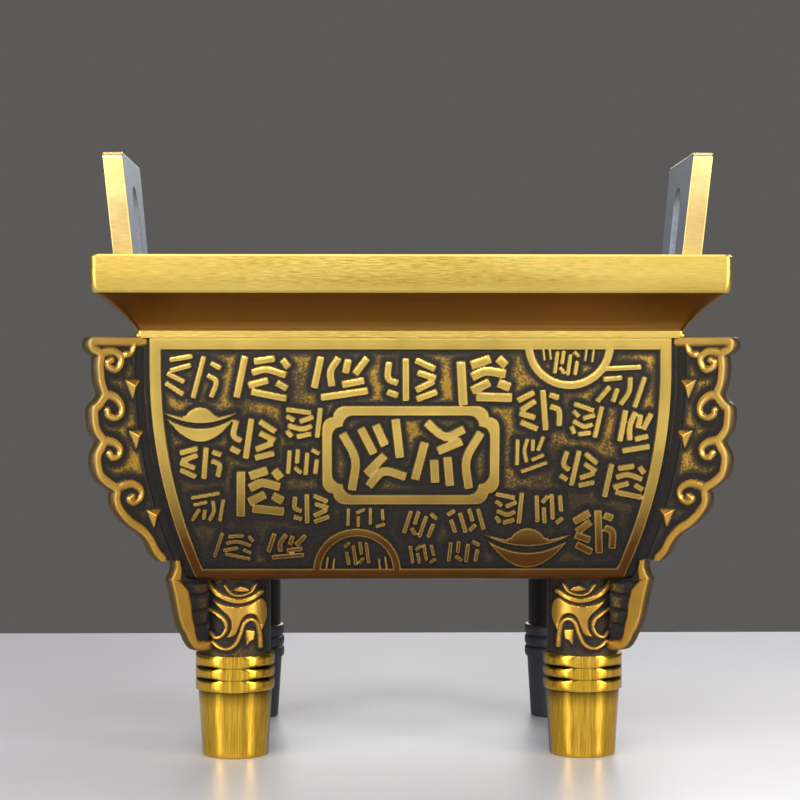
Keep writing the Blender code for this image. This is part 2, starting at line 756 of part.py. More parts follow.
def mask_outlines():
    """The raised shapes of half a mask, with x counted inwards from the leg's axis."""
    low = RING_TOP + FIT_GAP * 2
    tall = LEG_CLEARANCE - low

    def place(points):
        return [(x * COLUMN_RADIUS, low + z * tall) for x, z in points]

    outlines = [ribbon(place(path), width * COLUMN_RADIUS) for path, width in MASK_LINES]
    return outlines + [place(MASK_FACE), place(MASK_EYE)]


def leg_masks(centre):
    """Both halves of the mask, one on each outer side of the leg, wrapped round the column."""
    low, high = RING_TOP, LEG_CLEARANCE
    outer = COLUMN_RADIUS + MASK_RELIEF
    inner = COLUMN_RADIUS - MASK_ROOT
    tube = turned("tube", [(outer, high), (outer, low), (inner, low), (inner, high), (outer, high)], centre)
    halves = []
    for across, outward in (((-1, 0, 0), (0, 1, 0)), ((0, -1, 0), (1, 0, 0))):
        middle = Vector((*centre, 0)) + Vector(outward) * MASK_DEPTH / 2
        matrix = frame_matrix(middle, across, (0, 0, 1))
        half = sheet_piece("mask", mask_outlines(), MASK_DEPTH, matrix, CUTTERS)
        copy = new_object("tube_copy", tube.data.copy(), CUTTERS)
        halves.append(combine(half, copy, "INTERSECT"))
    bpy.data.objects.remove(tube)
    return halves


def build_legs():
    """Four legs, reflections of one another, cut to sit under the body."""
    centre = leg_centre()
    leg = turned("leg", leg_profile(), centre)
    leg = combine(leg, leg_wing(), "UNION")
    for half in leg_masks(centre):
        leg = combine(leg, half, "UNION")
    seat = [section(FIT_GAP - body_inset(z), z, BODY_CORNER_RADIUS) for z in body_heights(LEG_CLEARANCE)]
    seat.insert(0, section(FIT_GAP - body_inset(LEG_CLEARANCE), LEG_CLEARANCE - FIT_GAP, BODY_CORNER_RADIUS))
    leg = combine(leg, loft("seat", seat, CUTTERS), "DIFFERENCE")
    legs = [mirrored(leg, f"leg_{end}_{side}", side == "left", end == "front", BURNER)
            for end in ("front", "back") for side in ("left", "right")]
    bpy.data.objects.remove(leg)
    return legs


# Handles
def handle_outline():
    """An upright with a round-topped slot open at its foot, seen from the burner's end."""
    foot = HANDLE_FOOT_WIDTH / 2
    top = HANDLE_TOP_WIDTH / 2
    radius = HANDLE_CORNER
    slot = SLOT_WIDTH / 2
    spring = SLOT_HEIGHT - slot
    points = [(slot, 0), (foot, 0), (top, HANDLE_HEIGHT - radius), (top - radius, HANDLE_HEIGHT),
              (-top + radius, HANDLE_HEIGHT), (-top, HANDLE_HEIGHT - radius), (-foot, 0), (-slot, 0)]
    for step in range(SLOT_STEPS + 1):
        angle = math.pi * (1 - step / SLOT_STEPS)
        points.append((slot * math.cos(angle), spring + slot * math.sin(angle)))
    return points


def build_handle(name, side):
    """One handle, standing on the rim with its outer face over the rim's outer edge."""
    upright = sheet_piece(name, [handle_outline()], HANDLE_THICKNESS, Matrix.Identity(4), BURNER)
    outer_foot = RIM_LENGTH / 2 - RIM_EDGE
    centre_x = outer_foot - HANDLE_THICKNESS / 2
    leaning = Matrix((
        (0, HANDLE_LEAN, 1, centre_x),
        (1, 0, 0, 0),
        (0, 1, 0, RIM_TOP + FIT_GAP),
        (0, 0, 0, 1),
    ))
    upright.data.transform(leaning)
    edge = upright.modifiers.new("soft_edges", "BEVEL")
    edge.width = HANDLE_EDGE
    edge.segments = 1
    edge.limit_method = "ANGLE"
    edge.angle_limit = math.radians(40)
    upright = bake(upright)
    if side < 0:
        upright.data.transform(Matrix.Diagonal((-1, 1, 1, 1)))
        upright.data.flip_normals()
    return upright


def finish(pieces):
    """Gives every piece its metal and smooth round stretches."""
    for piece in pieces:
        piece.data.materials.clear()
        piece.data.materials.append(BRASS)
        piece.data.shade_smooth()
        piece.data.set_sharp_from_angle(angle=math.radians(30))


PIECES = [build_vessel(), *build_legs()]
PIECES += [build_handle("handle_left", -1), build_handle("handle_right", 1)]
finish(PIECES)
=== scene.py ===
"""Cast brass incense burner: a rectangular cauldron with scrolled wings, on four round legs.

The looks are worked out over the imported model, in its own frame: metres, +Z up, origin on the
floor under the middle, the front panel facing -Y.
"""

import functools
import math

import bpy
import numpy as np
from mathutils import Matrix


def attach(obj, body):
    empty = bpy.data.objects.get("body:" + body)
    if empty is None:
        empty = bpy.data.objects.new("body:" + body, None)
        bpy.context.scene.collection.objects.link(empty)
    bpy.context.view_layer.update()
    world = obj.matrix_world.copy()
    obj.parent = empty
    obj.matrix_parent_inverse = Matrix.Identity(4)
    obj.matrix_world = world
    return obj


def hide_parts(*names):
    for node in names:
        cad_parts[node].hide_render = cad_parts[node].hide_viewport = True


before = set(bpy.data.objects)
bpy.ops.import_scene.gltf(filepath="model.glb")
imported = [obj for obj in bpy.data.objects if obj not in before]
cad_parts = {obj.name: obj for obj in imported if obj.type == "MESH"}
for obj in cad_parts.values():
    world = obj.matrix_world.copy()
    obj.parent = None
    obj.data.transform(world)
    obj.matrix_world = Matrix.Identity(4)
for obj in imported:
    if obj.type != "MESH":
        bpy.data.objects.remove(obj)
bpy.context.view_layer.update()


# Bowl, neck and rim
# One brass casting with walls of about 4 mm, open at the top. The rim and the hollow flare under it
# are ground flat and brushed along their length, and the inside is left as it came from the mould.
LEG_CLEARANCE = 0.065
BODY_HEIGHT = 0.0858
BODY_TOP = LEG_CLEARANCE + BODY_HEIGHT
MOULDING_STEP = 0.0012
MOULDING_STAND = 0.0016
NECK_STAND = 0.0010
NECK_Z = BODY_TOP + 2 * MOULDING_STEP
COVE_HEIGHT = 0.0127
COVE_SAG = 0.0008
RIM_BOTTOM = NECK_Z + COVE_HEIGHT
RIM_HEIGHT = 0.0131
RIM_TOP = RIM_BOTTOM + RIM_HEIGHT
RIM_LENGTH = 0.220
RIM_DEPTH = 0.1768
RIM_OVERHANG = 0.0154
RIM_CORNER_RADIUS = 0.0030
RIM_LIP = 0.0125
RIM_EDGE = 0.0007
RIM_TUCK = 0.0012
BODY_LENGTH = RIM_LENGTH - 2 * RIM_OVERHANG
BODY_DEPTH = RIM_DEPTH - 2 * RIM_OVERHANG
BODY_STRAIGHT = 0.0108
BODY_ARC_RADIUS = 0.195
BODY_CORNER_RADIUS = 0.0008
NECK_CORNER_RADIUS = 0.0022
WALL = 0.0038
BOWL_FLOOR = 0.005
PANEL_BACKING = 0.0004
BODY_FOOT_ROUND = 0.0016


def side_inset(z):
    """How far a side has drawn in at height z: the sag of a circle's arc below the straight band."""
    drop = np.maximum(0.0, BODY_TOP - BODY_STRAIGHT - z)
    return BODY_ARC_RADIUS - np.sqrt(BODY_ARC_RADIUS**2 - drop**2)


def level_rings(overhang, height, radius, steps=8):
    """Level rounded rectangles, one for each overhang, height and corner radius.

    A corner is a quarter circle about a centre set in from the side by the radius.
    """
    overhang, height, radius = np.broadcast_arrays(overhang, height, radius)
    quarter = np.arange(4)[:, None]
    angle = ((quarter + np.linspace(0, 1, steps + 1)) * math.pi / 2).ravel()
    sign_x = np.repeat([1, -1, -1, 1], steps + 1)
    sign_y = np.repeat([1, 1, -1, -1], steps + 1)
    half_x = (BODY_LENGTH / 2 + overhang - radius)[:, None]
    half_y = (BODY_DEPTH / 2 + overhang - radius)[:, None]
    x = sign_x * half_x + radius[:, None] * np.cos(angle)
    y = sign_y * half_y + radius[:, None] * np.sin(angle)
    return np.stack([x, y, np.broadcast_to(height[:, None], x.shape)], axis=-1)


def new_object(name, data):
    """An object in the scene, holding a mesh, a light or a lens."""
    made = bpy.data.objects.new(name, data)
    bpy.context.scene.collection.objects.link(made)
    return made


def lofted(name, rings, mirrored=False, **attributes):
    """A closed skin through rings of points, with a flat face on the first and the last ring.

    Point j of ring i joins point j + 1 of its own ring and point j of ring i + 1. Mirrored rings run
    the wrong way round, so they are reversed. The map called grain holds metres round the mean ring
    and metres from ring to ring, for finishes that follow them.
    """
    if mirrored:
        rings = rings[:, ::-1]
        attributes = {label: values[:, ::-1] for label, values in attributes.items()}
    rows, count = rings.shape[:2]
    index = np.arange(rows * count).reshape(rows, count)
    low, high = index[:-1], index[1:]
    quads = np.stack([low, np.roll(low, -1, 1), np.roll(high, -1, 1), high], axis=-1)
    caps = [index[0, ::-1].tolist(), index[-1].tolist()]
    mesh = bpy.data.meshes.new(name)
    mesh.from_pydata(rings.reshape(-1, 3).tolist(), [], quads.reshape(-1, 4).tolist() + caps)
    round_step = np.linalg.norm(np.roll(rings, -1, 1) - rings, axis=-1)
    round_way = np.concatenate([np.zeros((rows, 1)), np.cumsum(round_step, axis=1)], axis=1)
    round_way *= round_way[:, -1].mean() / round_way[:, -1:]
    up_step = np.linalg.norm(np.diff(rings, axis=0), axis=-1).mean(axis=1)
    up_way = np.concatenate([[0], np.cumsum(up_step)])[:, None] + np.zeros((1, count + 1))
    way = np.stack([round_way, up_way], axis=-1)
    corners = np.stack([way[:-1, :-1], way[:-1, 1:], way[1:, 1:], way[1:, :-1]], axis=2)
    grain = np.concatenate([corners.reshape(-1, 2), rings[0, ::-1, :2], rings[-1, :, :2]])
    mesh.uv_layers.new(name="grain").data.foreach_set("uv", grain.astype(np.float32).ravel())
    for label, values in attributes.items():
        layer = mesh.attributes.new(label, "FLOAT", "POINT")
        layer.data.foreach_set("value", np.asarray(values, np.float32).ravel())
    return new_object(name, mesh)


def finished(piece, materials, bands=None, sharp=35):
    """Puts materials on a piece, by ring where bands names one for each, and rides it on the burner."""
    mesh = piece.data
    for material in materials:
        mesh.materials.append(material)
    if bands is not None:
        per_ring = (len(mesh.polygons) - 2) // len(bands)
        index = np.concatenate([np.repeat(bands, per_ring), [bands[0], bands[-1]]])
        mesh.polygons.foreach_set("material_index", index.astype(np.int32))
    mesh.shade_smooth()
    mesh.set_sharp_from_angle(angle=math.radians(sharp))
    mesh.update()
    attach(piece, "root")
    return piece


def linear(code):
    """Linear colour of an sRGB hex code: each channel's power curve, straight near black."""
    channels = np.array([int(code[i:i + 2], 16) for i in (0, 2, 4)]) / 255
    curve = np.where(channels <= 0.04045, channels / 12.92, ((channels + 0.055) / 1.055) ** 2.4)
    return (*curve.tolist(), 1.0)


def plug(node, sockets):
    """Gives each socket a value or a colour's hex code, or a link from an output or a node's first one."""
    for socket, value in sockets.items():
        value = linear(value) if isinstance(value, str) else value
        value = value.outputs[0] if isinstance(value, bpy.types.Node) else value
        if isinstance(value, bpy.types.NodeSocket):
            node.id_data.links.new(value, node.inputs[socket])
        else:
            node.inputs[socket].default_value = value


def add_node(tree, kind, sockets=(), **settings):
    """Adds a shader node with its settings, and plugs its sockets."""
    made = tree.nodes.new("ShaderNode" + kind)
    for name, value in settings.items():
        setattr(made, name, value)
    plug(made, dict(sockets))
    return made


def new_material(name):
    """A material, the function that adds a node to it, and its shader."""
    made = bpy.data.materials.new(name)
    made.use_nodes = True
    tree = made.node_tree
    return made, functools.partial(add_node, tree), tree.nodes["Principled BSDF"]


BRUSH_LENGTH = 0.004
BRUSH_SPACING = 0.00032
MOULD_GRAIN = 0.0009


def brushed(name, low, high):
    """Brass drawn over an abrasive belt: lines a few millimetres long, spaced wide enough to show.

    They break each reflection into short level glints and give it a soft edge.
    """
    made, add, shader = new_material(name)
    way = add("UVMap", uv_map="grain")
    fine = add("Mapping", {"Vector": way, "Scale": (1 / BRUSH_LENGTH, 1 / BRUSH_SPACING, 1)})
    lines = add("TexNoise", {"Vector": fine, "Scale": 1.0, "Detail": 2.0})
    broad = add("Mapping", {"Vector": way, "Scale": (1 / 0.05, 1 / 0.012, 1)})
    cloud = add("TexNoise", {"Vector": broad, "Scale": 1.0, "Detail": 1.0})
    both = add("Math", {0: lines, 1: cloud}, operation="ADD")
    share = add("MapRange", {"Value": both, "From Min": 0.7, "From Max": 1.3})
    tint = add("Mix", {0: share, 6: low, 7: high}, data_type="RGBA")
    gloss = add("MapRange", {"Value": lines, "From Min": 0.3, "From Max": 0.7, "To Min": 0.30,
                             "To Max": 0.42})
    ridges = add("Bump", {"Height": lines, "Strength": 0.17, "Distance": 0.00008})
    plug(shader, {"Base Color": tint.outputs[2], "Roughness": gloss, "Normal": ridges, "Metallic": 1.0})
    return made


brushed_brass = brushed("brushed_brass", "C8A84A", "DEC369")

# Browned brass: the brushed metal of the hollow under the rim, its brown being painted shade and a
# painted dark reflection. It is darkest under the rim's edge and thins to gold at the neck.
underside_shade_brass, add, shader = new_material("underside_shade_brass")
place = add("TexCoord").outputs["Object"]
height = add("SeparateXYZ", {0: place})
way = add("Mapping", {"Vector": place, "Scale": (20, 20, 1 / 0.0006)})
lines = add("TexNoise", {"Vector": way, "Scale": 1.0, "Detail": 2.0})
level = add("MapRange", {"Value": height.outputs[2], "From Min": NECK_Z, "From Max": NECK_Z + COVE_HEIGHT})
wander = add("MapRange", {"Value": lines, "To Min": -0.15, "To Max": 0.15})
depth = add("Math", {0: level, 1: wander}, operation="ADD")
lower = add("MapRange", {"Value": depth, "From Min": 0.0, "From Max": 0.28})
upper = add("MapRange", {"Value": depth, "From Min": 0.2, "From Max": 0.9})
# Painted shade and reflection: brown under the rim's edge, thinning to gold at the neck.
amber = add("Mix", {0: upper, 6: "80561F", 7: "70491C"}, data_type="RGBA")
tint = add("Mix", {0: lower, 6: "A27C3C", 7: amber.outputs[2]}, data_type="RGBA")
plug(shader, {"Base Color": tint.outputs[2], "Metallic": 1.0, "Roughness": 0.36})


def patinated(name, pale, deep, dark, fleck_tone):
    """Cast brass under sulphide browning, rubbed back to metal where a hand or a cloth reaches.

    What is raised runs from deep at the body's foot to pale at its shoulder, a painted reflection that
    darkens the lower work, and its edges carry a painted highlight that also stands for their wear. The
    ground is dark, darkest next to raised work where the panels paint its shade, with rubbed patches
    where it lies open, broken up by the sand mould's grain, drawn at 0.9 mm.
    """
    made, add, shader = new_material(name)
    place = add("TexCoord").outputs["Object"]
    height = add("SeparateXYZ", {0: place})
    raised, arris, open_ground = (add("Attribute", attribute_name=label).outputs["Fac"]
                                  for label in ("raised", "arris", "open_ground"))
    sand = add("TexNoise", {"Vector": place, "Scale": 1 / MOULD_GRAIN, "Detail": 3.0, "Roughness": 0.65})
    cloud = add("TexNoise", {"Vector": place, "Scale": 1 / 0.014, "Detail": 1.5})
    patch = add("Math", {0: open_ground, 1: cloud}, operation="MULTIPLY")
    soft = add("MapRange", {"Value": patch, "From Min": 0.10, "From Max": 0.62})
    fleck = add("Math", {0: patch, 1: sand}, operation="ADD")
    rubbed = add("MapRange", {"Value": fleck, "From Min": 0.84, "From Max": 1.16})
    haze = add("Mix", {0: soft, 6: dark, 7: "66501F"}, data_type="RGBA")
    pores = add("MapRange", {"Value": sand, "From Min": 0.35, "From Max": 0.65, "To Min": 0.6,
                             "To Max": 1.5})
    pitted = add("VectorMath", {0: haze.outputs[2], 1: pores}, operation="MULTIPLY")
    ground = add("Mix", {0: rubbed, 6: pitted, 7: fleck_tone}, data_type="RGBA")
    # Painted reflection: raised work darkens by height from pale at the shoulder to deep at the foot.
    painted_floor_reflection = add("MapRange", {"Value": height.outputs[2],
                              "From Min": LEG_CLEARANCE + BODY_HEIGHT * 0.16,
                              "From Max": LEG_CLEARANCE + BODY_HEIGHT * 0.62})
    body = add("Mix", {0: painted_floor_reflection, 6: deep, 7: pale}, data_type="RGBA")
    # Painted highlight: the raised work's edges are mixed towards pale gold, which also stands for their
    # wear.
    metal = add("Mix", {0: arris, 6: body.outputs[2], 7: "EACB7C"}, data_type="RGBA")
    shade = add("MapRange", {"Value": cloud, "From Min": 0.3, "From Max": 0.7, "To Min": 0.84,
                             "To Max": 1.08})
    mottled = add("VectorMath", {0: metal.outputs[2], 1: shade}, operation="MULTIPLY")
    skin = add("Mix", {0: raised, 6: ground.outputs[2], 7: mottled}, data_type="RGBA")
    bare = add("Math", {0: raised, 1: rubbed}, operation="MAXIMUM")
    plating = add("MapRange", {"Value": bare, "To Min": 0.6, "To Max": 1.0})
    gloss = add("MapRange", {"Value": bare, "To Min": 0.52, "To Max": 0.34})
    grit = add("MapRange", {"Value": raised, "To Min": 0.5, "To Max": 0.13})
    grain = add("Bump", {"Height": sand, "Strength": grit, "Distance": 0.00025})
    plug(shader, {"Base Color": skin.outputs[2], "Metallic": plating, "Roughness": gloss, "Normal": grain})
    return made


# Antique brass of the body: pale gold above, copper brown below as a painted reflection, over a ground that
# is nearly black.
antique_brass = patinated("antique_brass", "D6B65C", "5E3C1B", "1D1916", "B08A38")

lip_inner = RIM_OVERHANG - RIM_LIP
tight = BODY_CORNER_RADIUS
rise = np.linspace(LEG_CLEARANCE + PANEL_BACKING, BODY_TOP, 12)
foot_tuck = np.maximum(0, BODY_FOOT_ROUND * 2 - (rise - LEG_CLEARANCE))
cove = np.linspace(0, 1, 10)[1:-1]
cove_sag = COVE_SAG * 4 * cove * (1 - cove) / math.sqrt(2)
cove_out = NECK_STAND + (RIM_OVERHANG - RIM_TUCK - NECK_STAND) * cove - cove_sag
round_up = np.linspace(0, 1, 6)
dip = np.linspace(BODY_TOP, LEG_CLEARANCE + BOWL_FLOOR, 12)
profile = np.concatenate([
    np.stack([-PANEL_BACKING - side_inset(rise) - foot_tuck, rise, np.full(12, tight)], 1),
    [(MOULDING_STAND, BODY_TOP, NECK_CORNER_RADIUS),
     (MOULDING_STAND, BODY_TOP + MOULDING_STEP, NECK_CORNER_RADIUS),
     (NECK_STAND, BODY_TOP + MOULDING_STEP, NECK_CORNER_RADIUS), (NECK_STAND, NECK_Z, NECK_CORNER_RADIUS)],
    np.stack([cove_out, NECK_Z + COVE_HEIGHT * cove + cove_sag,
              NECK_CORNER_RADIUS + (RIM_CORNER_RADIUS - NECK_CORNER_RADIUS) * cove], 1),
    np.stack([RIM_OVERHANG - RIM_TUCK * (1 - round_up) ** 2,
              RIM_BOTTOM + RIM_HEIGHT / 2 * round_up ** 1.6, np.full(6, RIM_CORNER_RADIUS)], 1),
    [(RIM_OVERHANG, RIM_TOP - RIM_EDGE, RIM_CORNER_RADIUS),
     (RIM_OVERHANG - RIM_EDGE, RIM_TOP, RIM_CORNER_RADIUS),
     (lip_inner + RIM_EDGE, RIM_TOP, tight * 2), (lip_inner, RIM_TOP - RIM_EDGE, tight * 2),
     (lip_inner, RIM_BOTTOM + RIM_HEIGHT / 2, tight * 2)],
    np.stack([-WALL - side_inset(dip), dip, np.full(12, tight)], 1),
])
bowl = lofted("bowl_and_rim", level_rings(*profile.T),
              raised=np.zeros((len(profile), 36)), open_ground=np.full((len(profile), 36), 0.42))
sides, neck, hollow, rim = np.zeros(12), np.ones(3), np.full(9, 2), np.ones(10)
inside = np.zeros(len(profile) - 1 - len(sides) - len(neck) - len(hollow) - len(rim))
finished(bowl, [antique_brass, brushed_brass, underside_shade_brass], np.r_[sides, neck, hollow, rim, inside])
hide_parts("vessel")


# Panels on the four sides
# Part of the same casting, standing 1.1 mm out of the sides: a frame on each, and on the front a
# cartouche, coins, ingots and rows of made-up signs. Their tops are rubbed bright, the ground is dark.
CELL = 0.00042
RELIEF = 0.0011
SHOULDER = 0.00013
GROUND_SWELL = 0.00014
PANEL_THICKNESS = 0.0015
GAP_REACH = 0.005
DARK_MARGIN = 0.0009
RUB_REACH = 0.0024
FAR_GROUND = 0.0033
FAR_REACH = 0.0017
FAR_DARKER = 0.22
RUB_HEIGHT = 0.065
LEAST_RUB = 0.35
EDGE_HIGHLIGHT_BRIGHTNESS = 0.5
END_CELL = CELL * 1.6
PANEL_MARGIN = 0.0038
FRAME_WIDTH = 0.0037
FRAME_HEIGHT = 0.0040
CARTOUCHE_LENGTH = 0.0617
CARTOUCHE_HEIGHT = 0.0344
CARTOUCHE_BAND = 0.0031
CARTOUCHE_NOTCH = 0.0076
CARTOUCHE_CUSP = 0.5
CARTOUCHE_SHARE = 0.521
COIN_RADIUS = 0.0155
COIN_BAND = 0.0026
COIN_SHARES = ((0.292, 0.973), (-0.100, 0.036))
COIN_HOLE = 0.0105
END_COIN_RADIUS = 0.0200
INGOT_LENGTH = 0.0248
INGOT_SHARES = ((-0.388, 0.652, 1.0), (0.219, 0.140, 1.2))


def bowed(knots, scale=1.0, steps=8):
    """Points along (x, z, bulge) knots: each stretch bows left of its chord as a parabola.

    The bow at the middle of a stretch is half its chord times the bulge.
    """
    knots = np.array(knots, float) * (scale, scale, 1)
    chord = np.diff(knots[:, :2], axis=0)[:, None]
    left = np.stack([-chord[..., 1], chord[..., 0]], axis=-1)
    share = np.linspace(0, 1, steps, endpoint=False)[None, :, None]
    sag = knots[:-1, 2][:, None, None] * 2 * share * (1 - share)
    curve = knots[:-1, None, :2] + chord * share + left * sag
    return np.concatenate([curve.reshape(-1, 2), knots[-1:, :2]])


def splined(points, steps=6):
    """A smooth path through points: the Catmull-Rom cubic between each pair of them."""
    points = np.asarray(points, float)
    ends = np.concatenate([[2 * points[0] - points[1]], points, [2 * points[-1] - points[-2]]])
    a, b, c, d = (ends[i:len(ends) - 3 + i, None] for i in range(4))
    t = np.linspace(0, 1, steps, endpoint=False)[None, :, None]
    curve = b + (c - a) * t / 2 + (a - 2.5 * b + 2 * c - d / 2) * t**2 + (1.5 * (b - c) + (d - a) / 2) * t**3
    return np.concatenate([curve.reshape(-1, 2), points[-1:]])


def ribbon(path, width):
    """Outline of a strip along a path: each point moved half the width to either side."""
    path = np.asarray(path, float)
    along = np.gradient(path, axis=0)
    along /= np.linalg.norm(along, axis=1, keepdims=True)
    side = np.stack([-along[:, 1], along[:, 0]], axis=1) * width / 2
    return np.concatenate([path + side, (path - side)[::-1]])


def circle(x, z, radius, steps=48):
    """Points round a circle."""
    angle = np.linspace(0, 2 * math.pi, steps, endpoint=False)
    return np.stack([x + radius * np.cos(angle), z + radius * np.sin(angle)], axis=1)


def from_stretch(x, z, start, end):
    """Offsets of points from the nearest spot of a straight stretch, and that spot's share of it.

    The share is the offset from the start, projected on the stretch and held between 0 and 1.
    """
    (ax, az), (bx, bz) = start, end
    run, climb = bx - ax, bz - az
    share = np.clip(((x - ax) * run + (z - az) * climb) / (run**2 + climb**2 + 1e-18), 0, 1)
    return x - ax - share * run, z - az - share * climb, share


def signed_gap(x, z, outlines):
    """Distance from points to the edges of flat shapes, negative inside.

    It is the least distance to any edge. A point is inside where a level line from it crosses an
    odd number of edges, so an outline inside another is a hole.
    """
    nearest = np.full(x.shape, np.inf)
    inside = np.zeros(x.shape, bool)
    for outline in outlines:
        for (ax, az), (bx, bz) in zip(outline, np.roll(outline, -1, 0)):
            away_x, away_z, _ = from_stretch(x, z, (ax, az), (bx, bz))
            nearest = np.minimum(nearest, away_x**2 + away_z**2)
            if bz != az:
                inside ^= ((az <= z) != (bz <= z)) & (x < ax + (z - az) * (bx - ax) / (bz - az))
    return np.where(inside, -1, 1) * np.sqrt(nearest)


def nearest_gap(x, z, shapes):
    """Signed distance to the nearest of many shapes, each measured only within reach of its box."""
    gap = np.full(x.shape, GAP_REACH)
    for outlines in shapes:
        points = np.concatenate(outlines)
        low, high = points.min(0) - GAP_REACH, points.max(0) + GAP_REACH
        near = (x > low[0]) & (x < high[0]) & (z > low[1]) & (z < high[1])
        gap[near] = np.minimum(gap[near], signed_gap(x[near], z[near], outlines))
    return gap


def held(value):
    """A value held between 0 and 1."""
    return np.clip(value, 0, 1)


def swell(x, z):
    """Low waves of the cast ground, from -1 to 1: the mean of four crossed sines 7 to 17 mm long."""
    waves = ((610, 240, 0.3), (-350, 520, 1.9), (180, -830, 4.1), (900, 90, 5.2))
    return sum(np.sin(a * x + b * z + c) for a, b, c in waves) / len(waves)


def pressed(x, z, gap, cell):
    """Draws grid points near a shape's edge on to it, and the next row out to one cell away.

    Each moves along the slope of the gap. What lies on or inside the edge is raised, so the walls
    are one cell wide and follow the outlines. Points on the grid's border stay.
    """
    slope_x = np.gradient(gap, axis=1) / np.gradient(x, axis=1)
    slope_z = (np.gradient(gap, axis=0) - slope_x * np.gradient(x, axis=0)) / np.gradient(z, axis=0)
    size = np.maximum(np.hypot(slope_x, slope_z), 0.3)
    move = np.where(np.abs(gap) < cell / 2, -gap, 0) + np.where(
        (gap >= cell / 2) & (gap < cell * 1.5), cell - gap, 0)
    move[[0, -1]] = 0
    move[:, [0, -1]] = 0
    return x + move * slope_x / size, z + move * slope_z / size, gap < cell / 2


def panel(name, half_width, half_depth, shapes, cell, quarter_turns, rounded_shapes=()):
    """One side of the body: a grid as wide as the side at each height, standing out by its relief.

    y is minus half the depth, plus what the side has drawn in, minus the relief, and its foot
    rounds under as a quarter circle. Rounded shapes grow by the round of their corners. The grid is
    then turned about Z by quarter turns. The ground is left dark for a short way off the raised work,
    as painted shade at its foot and as patina that a cloth doesn't reach; beyond that a cloth rubs it
    brightest, less towards the foot, and a little less again where the ground lies furthest off.
    """
    rows = round(BODY_HEIGHT / cell)
    across = np.linspace(-1, 1, round(2 * half_width / cell))[None]
    level = np.linspace(LEG_CLEARANCE, BODY_TOP, rows)[:, None]
    x = across * (half_width - side_inset(level))
    z = level + 0 * x
    gap = nearest_gap(x, z, shapes)
    if rounded_shapes:
        gap = np.minimum(gap, nearest_gap(x, z, rounded_shapes) - STROKE_ROUND)
    x, z, up = pressed(x, z, gap, cell)
    edge = held(1 + gap / (2 * cell))
    stand = np.where(up, RELIEF - SHOULDER * edge, GROUND_SWELL * swell(x, z) * held(gap / 0.002))
    turn_in = BODY_FOOT_ROUND - np.clip(z - LEG_CLEARANCE, 0, BODY_FOOT_ROUND)
    under = BODY_FOOT_ROUND - np.sqrt(BODY_FOOT_ROUND**2 - turn_in**2)
    y = side_inset(z) - half_depth - stand + under
    behind = PANEL_THICKNESS + np.clip(BODY_FOOT_ROUND * 2 - (level - LEG_CLEARANCE), 0, None)
    back_y = (side_inset(level) - half_depth + behind).repeat(2, 1)
    back_x = (half_width - side_inset(level) - behind) * [1, -1]
    back = np.stack([back_x, back_y, level.repeat(2, 1)], axis=-1)
    rings = np.concatenate([np.stack([x, y, z], axis=-1), back], axis=1)
    for _ in range(quarter_turns):
        rings = np.stack([-rings[..., 1], rings[..., 0], rings[..., 2]], axis=-1)
    plain = np.zeros((rows, 2))
    by_height = np.clip((z - LEG_CLEARANCE) / RUB_HEIGHT, LEAST_RUB, 1)
    far = 1 - FAR_DARKER * held((gap - FAR_GROUND) / FAR_REACH)
    # Dark margin beside the raised work: painted shade at its foot, and patina the cloth leaves there.
    open_ground = held((gap - DARK_MARGIN) / RUB_REACH) * by_height * far
    # Painted highlight along the raised edges, also standing for their wear.
    arris = np.where(up, held(1 + gap / cell), 0) * EDGE_HIGHLIGHT_BRIGHTNESS
    made = lofted(name, rings, raised=np.concatenate([up, plain], 1), arris=np.concatenate([arris, plain], 1),
                  open_ground=np.concatenate([open_ground, plain], 1))
    finished(made, [antique_brass])
    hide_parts("vessel")
    return made


def frame_shape(half_width):
    """The raised frame of a side: it keeps its width from the side's edge as the side draws in."""
    low = np.linspace(LEG_CLEARANCE - CELL, BODY_TOP + CELL, 24)
    inner = np.linspace(LEG_CLEARANCE + FRAME_HEIGHT, BODY_TOP - FRAME_HEIGHT, 24)
    reach = half_width - PANEL_MARGIN - side_inset(low)
    inner_reach = half_width - PANEL_MARGIN - FRAME_WIDTH - side_inset(inner)
    return [np.concatenate([np.stack([reach, low], 1), np.stack([-reach, low], 1)[::-1]]),
            np.concatenate([np.stack([inner_reach, inner], 1), np.stack([-inner_reach, inner], 1)[::-1]])]


def notched(half_x, half_z, notch, centre_z):
    """A rectangle whose corners are two round steps meeting in a cusp."""
    cusp = notch * CARTOUCHE_CUSP
    quarter = -math.tan(math.pi / 8)
    corner = bowed([(half_x, half_z - notch, quarter), (half_x - cusp, half_z - cusp, quarter),
                    (half_x - notch, half_z, 0)])
    sides = [corner * (sx, sz) if sx == sz else (corner * (sx, sz))[::-1]
             for sx, sz in ((1, 1), (-1, 1), (-1, -1), (1, -1))]
    return np.concatenate(sides) + (0, centre_z)


def ingot(x, z, length):
    """A boat-shaped ingot, in shares of half its length: the hull, and the brim with its dome."""
    hull = bowed([(-0.92, 0.12, -0.68), (0.92, 0.12, 0.30), (-0.92, 0.12, 0)], steps=16)[:-1]
    brim = bowed([(-1, 0.28, -0.26), (1, 0.28, 0)], steps=16)
    dome = np.array([(0.50, 0.16), (0.48, 0.20), (0.40, 0.21), (0.30, 0.33), (0.16, 0.42), (0, 0.45),
                     (-0.16, 0.42), (-0.30, 0.33), (-0.40, 0.21), (-0.48, 0.20), (-0.50, 0.16)])
    return [[outline * length / 2 + (x, z)] for outline in (hull, np.concatenate([brim, dome]))]


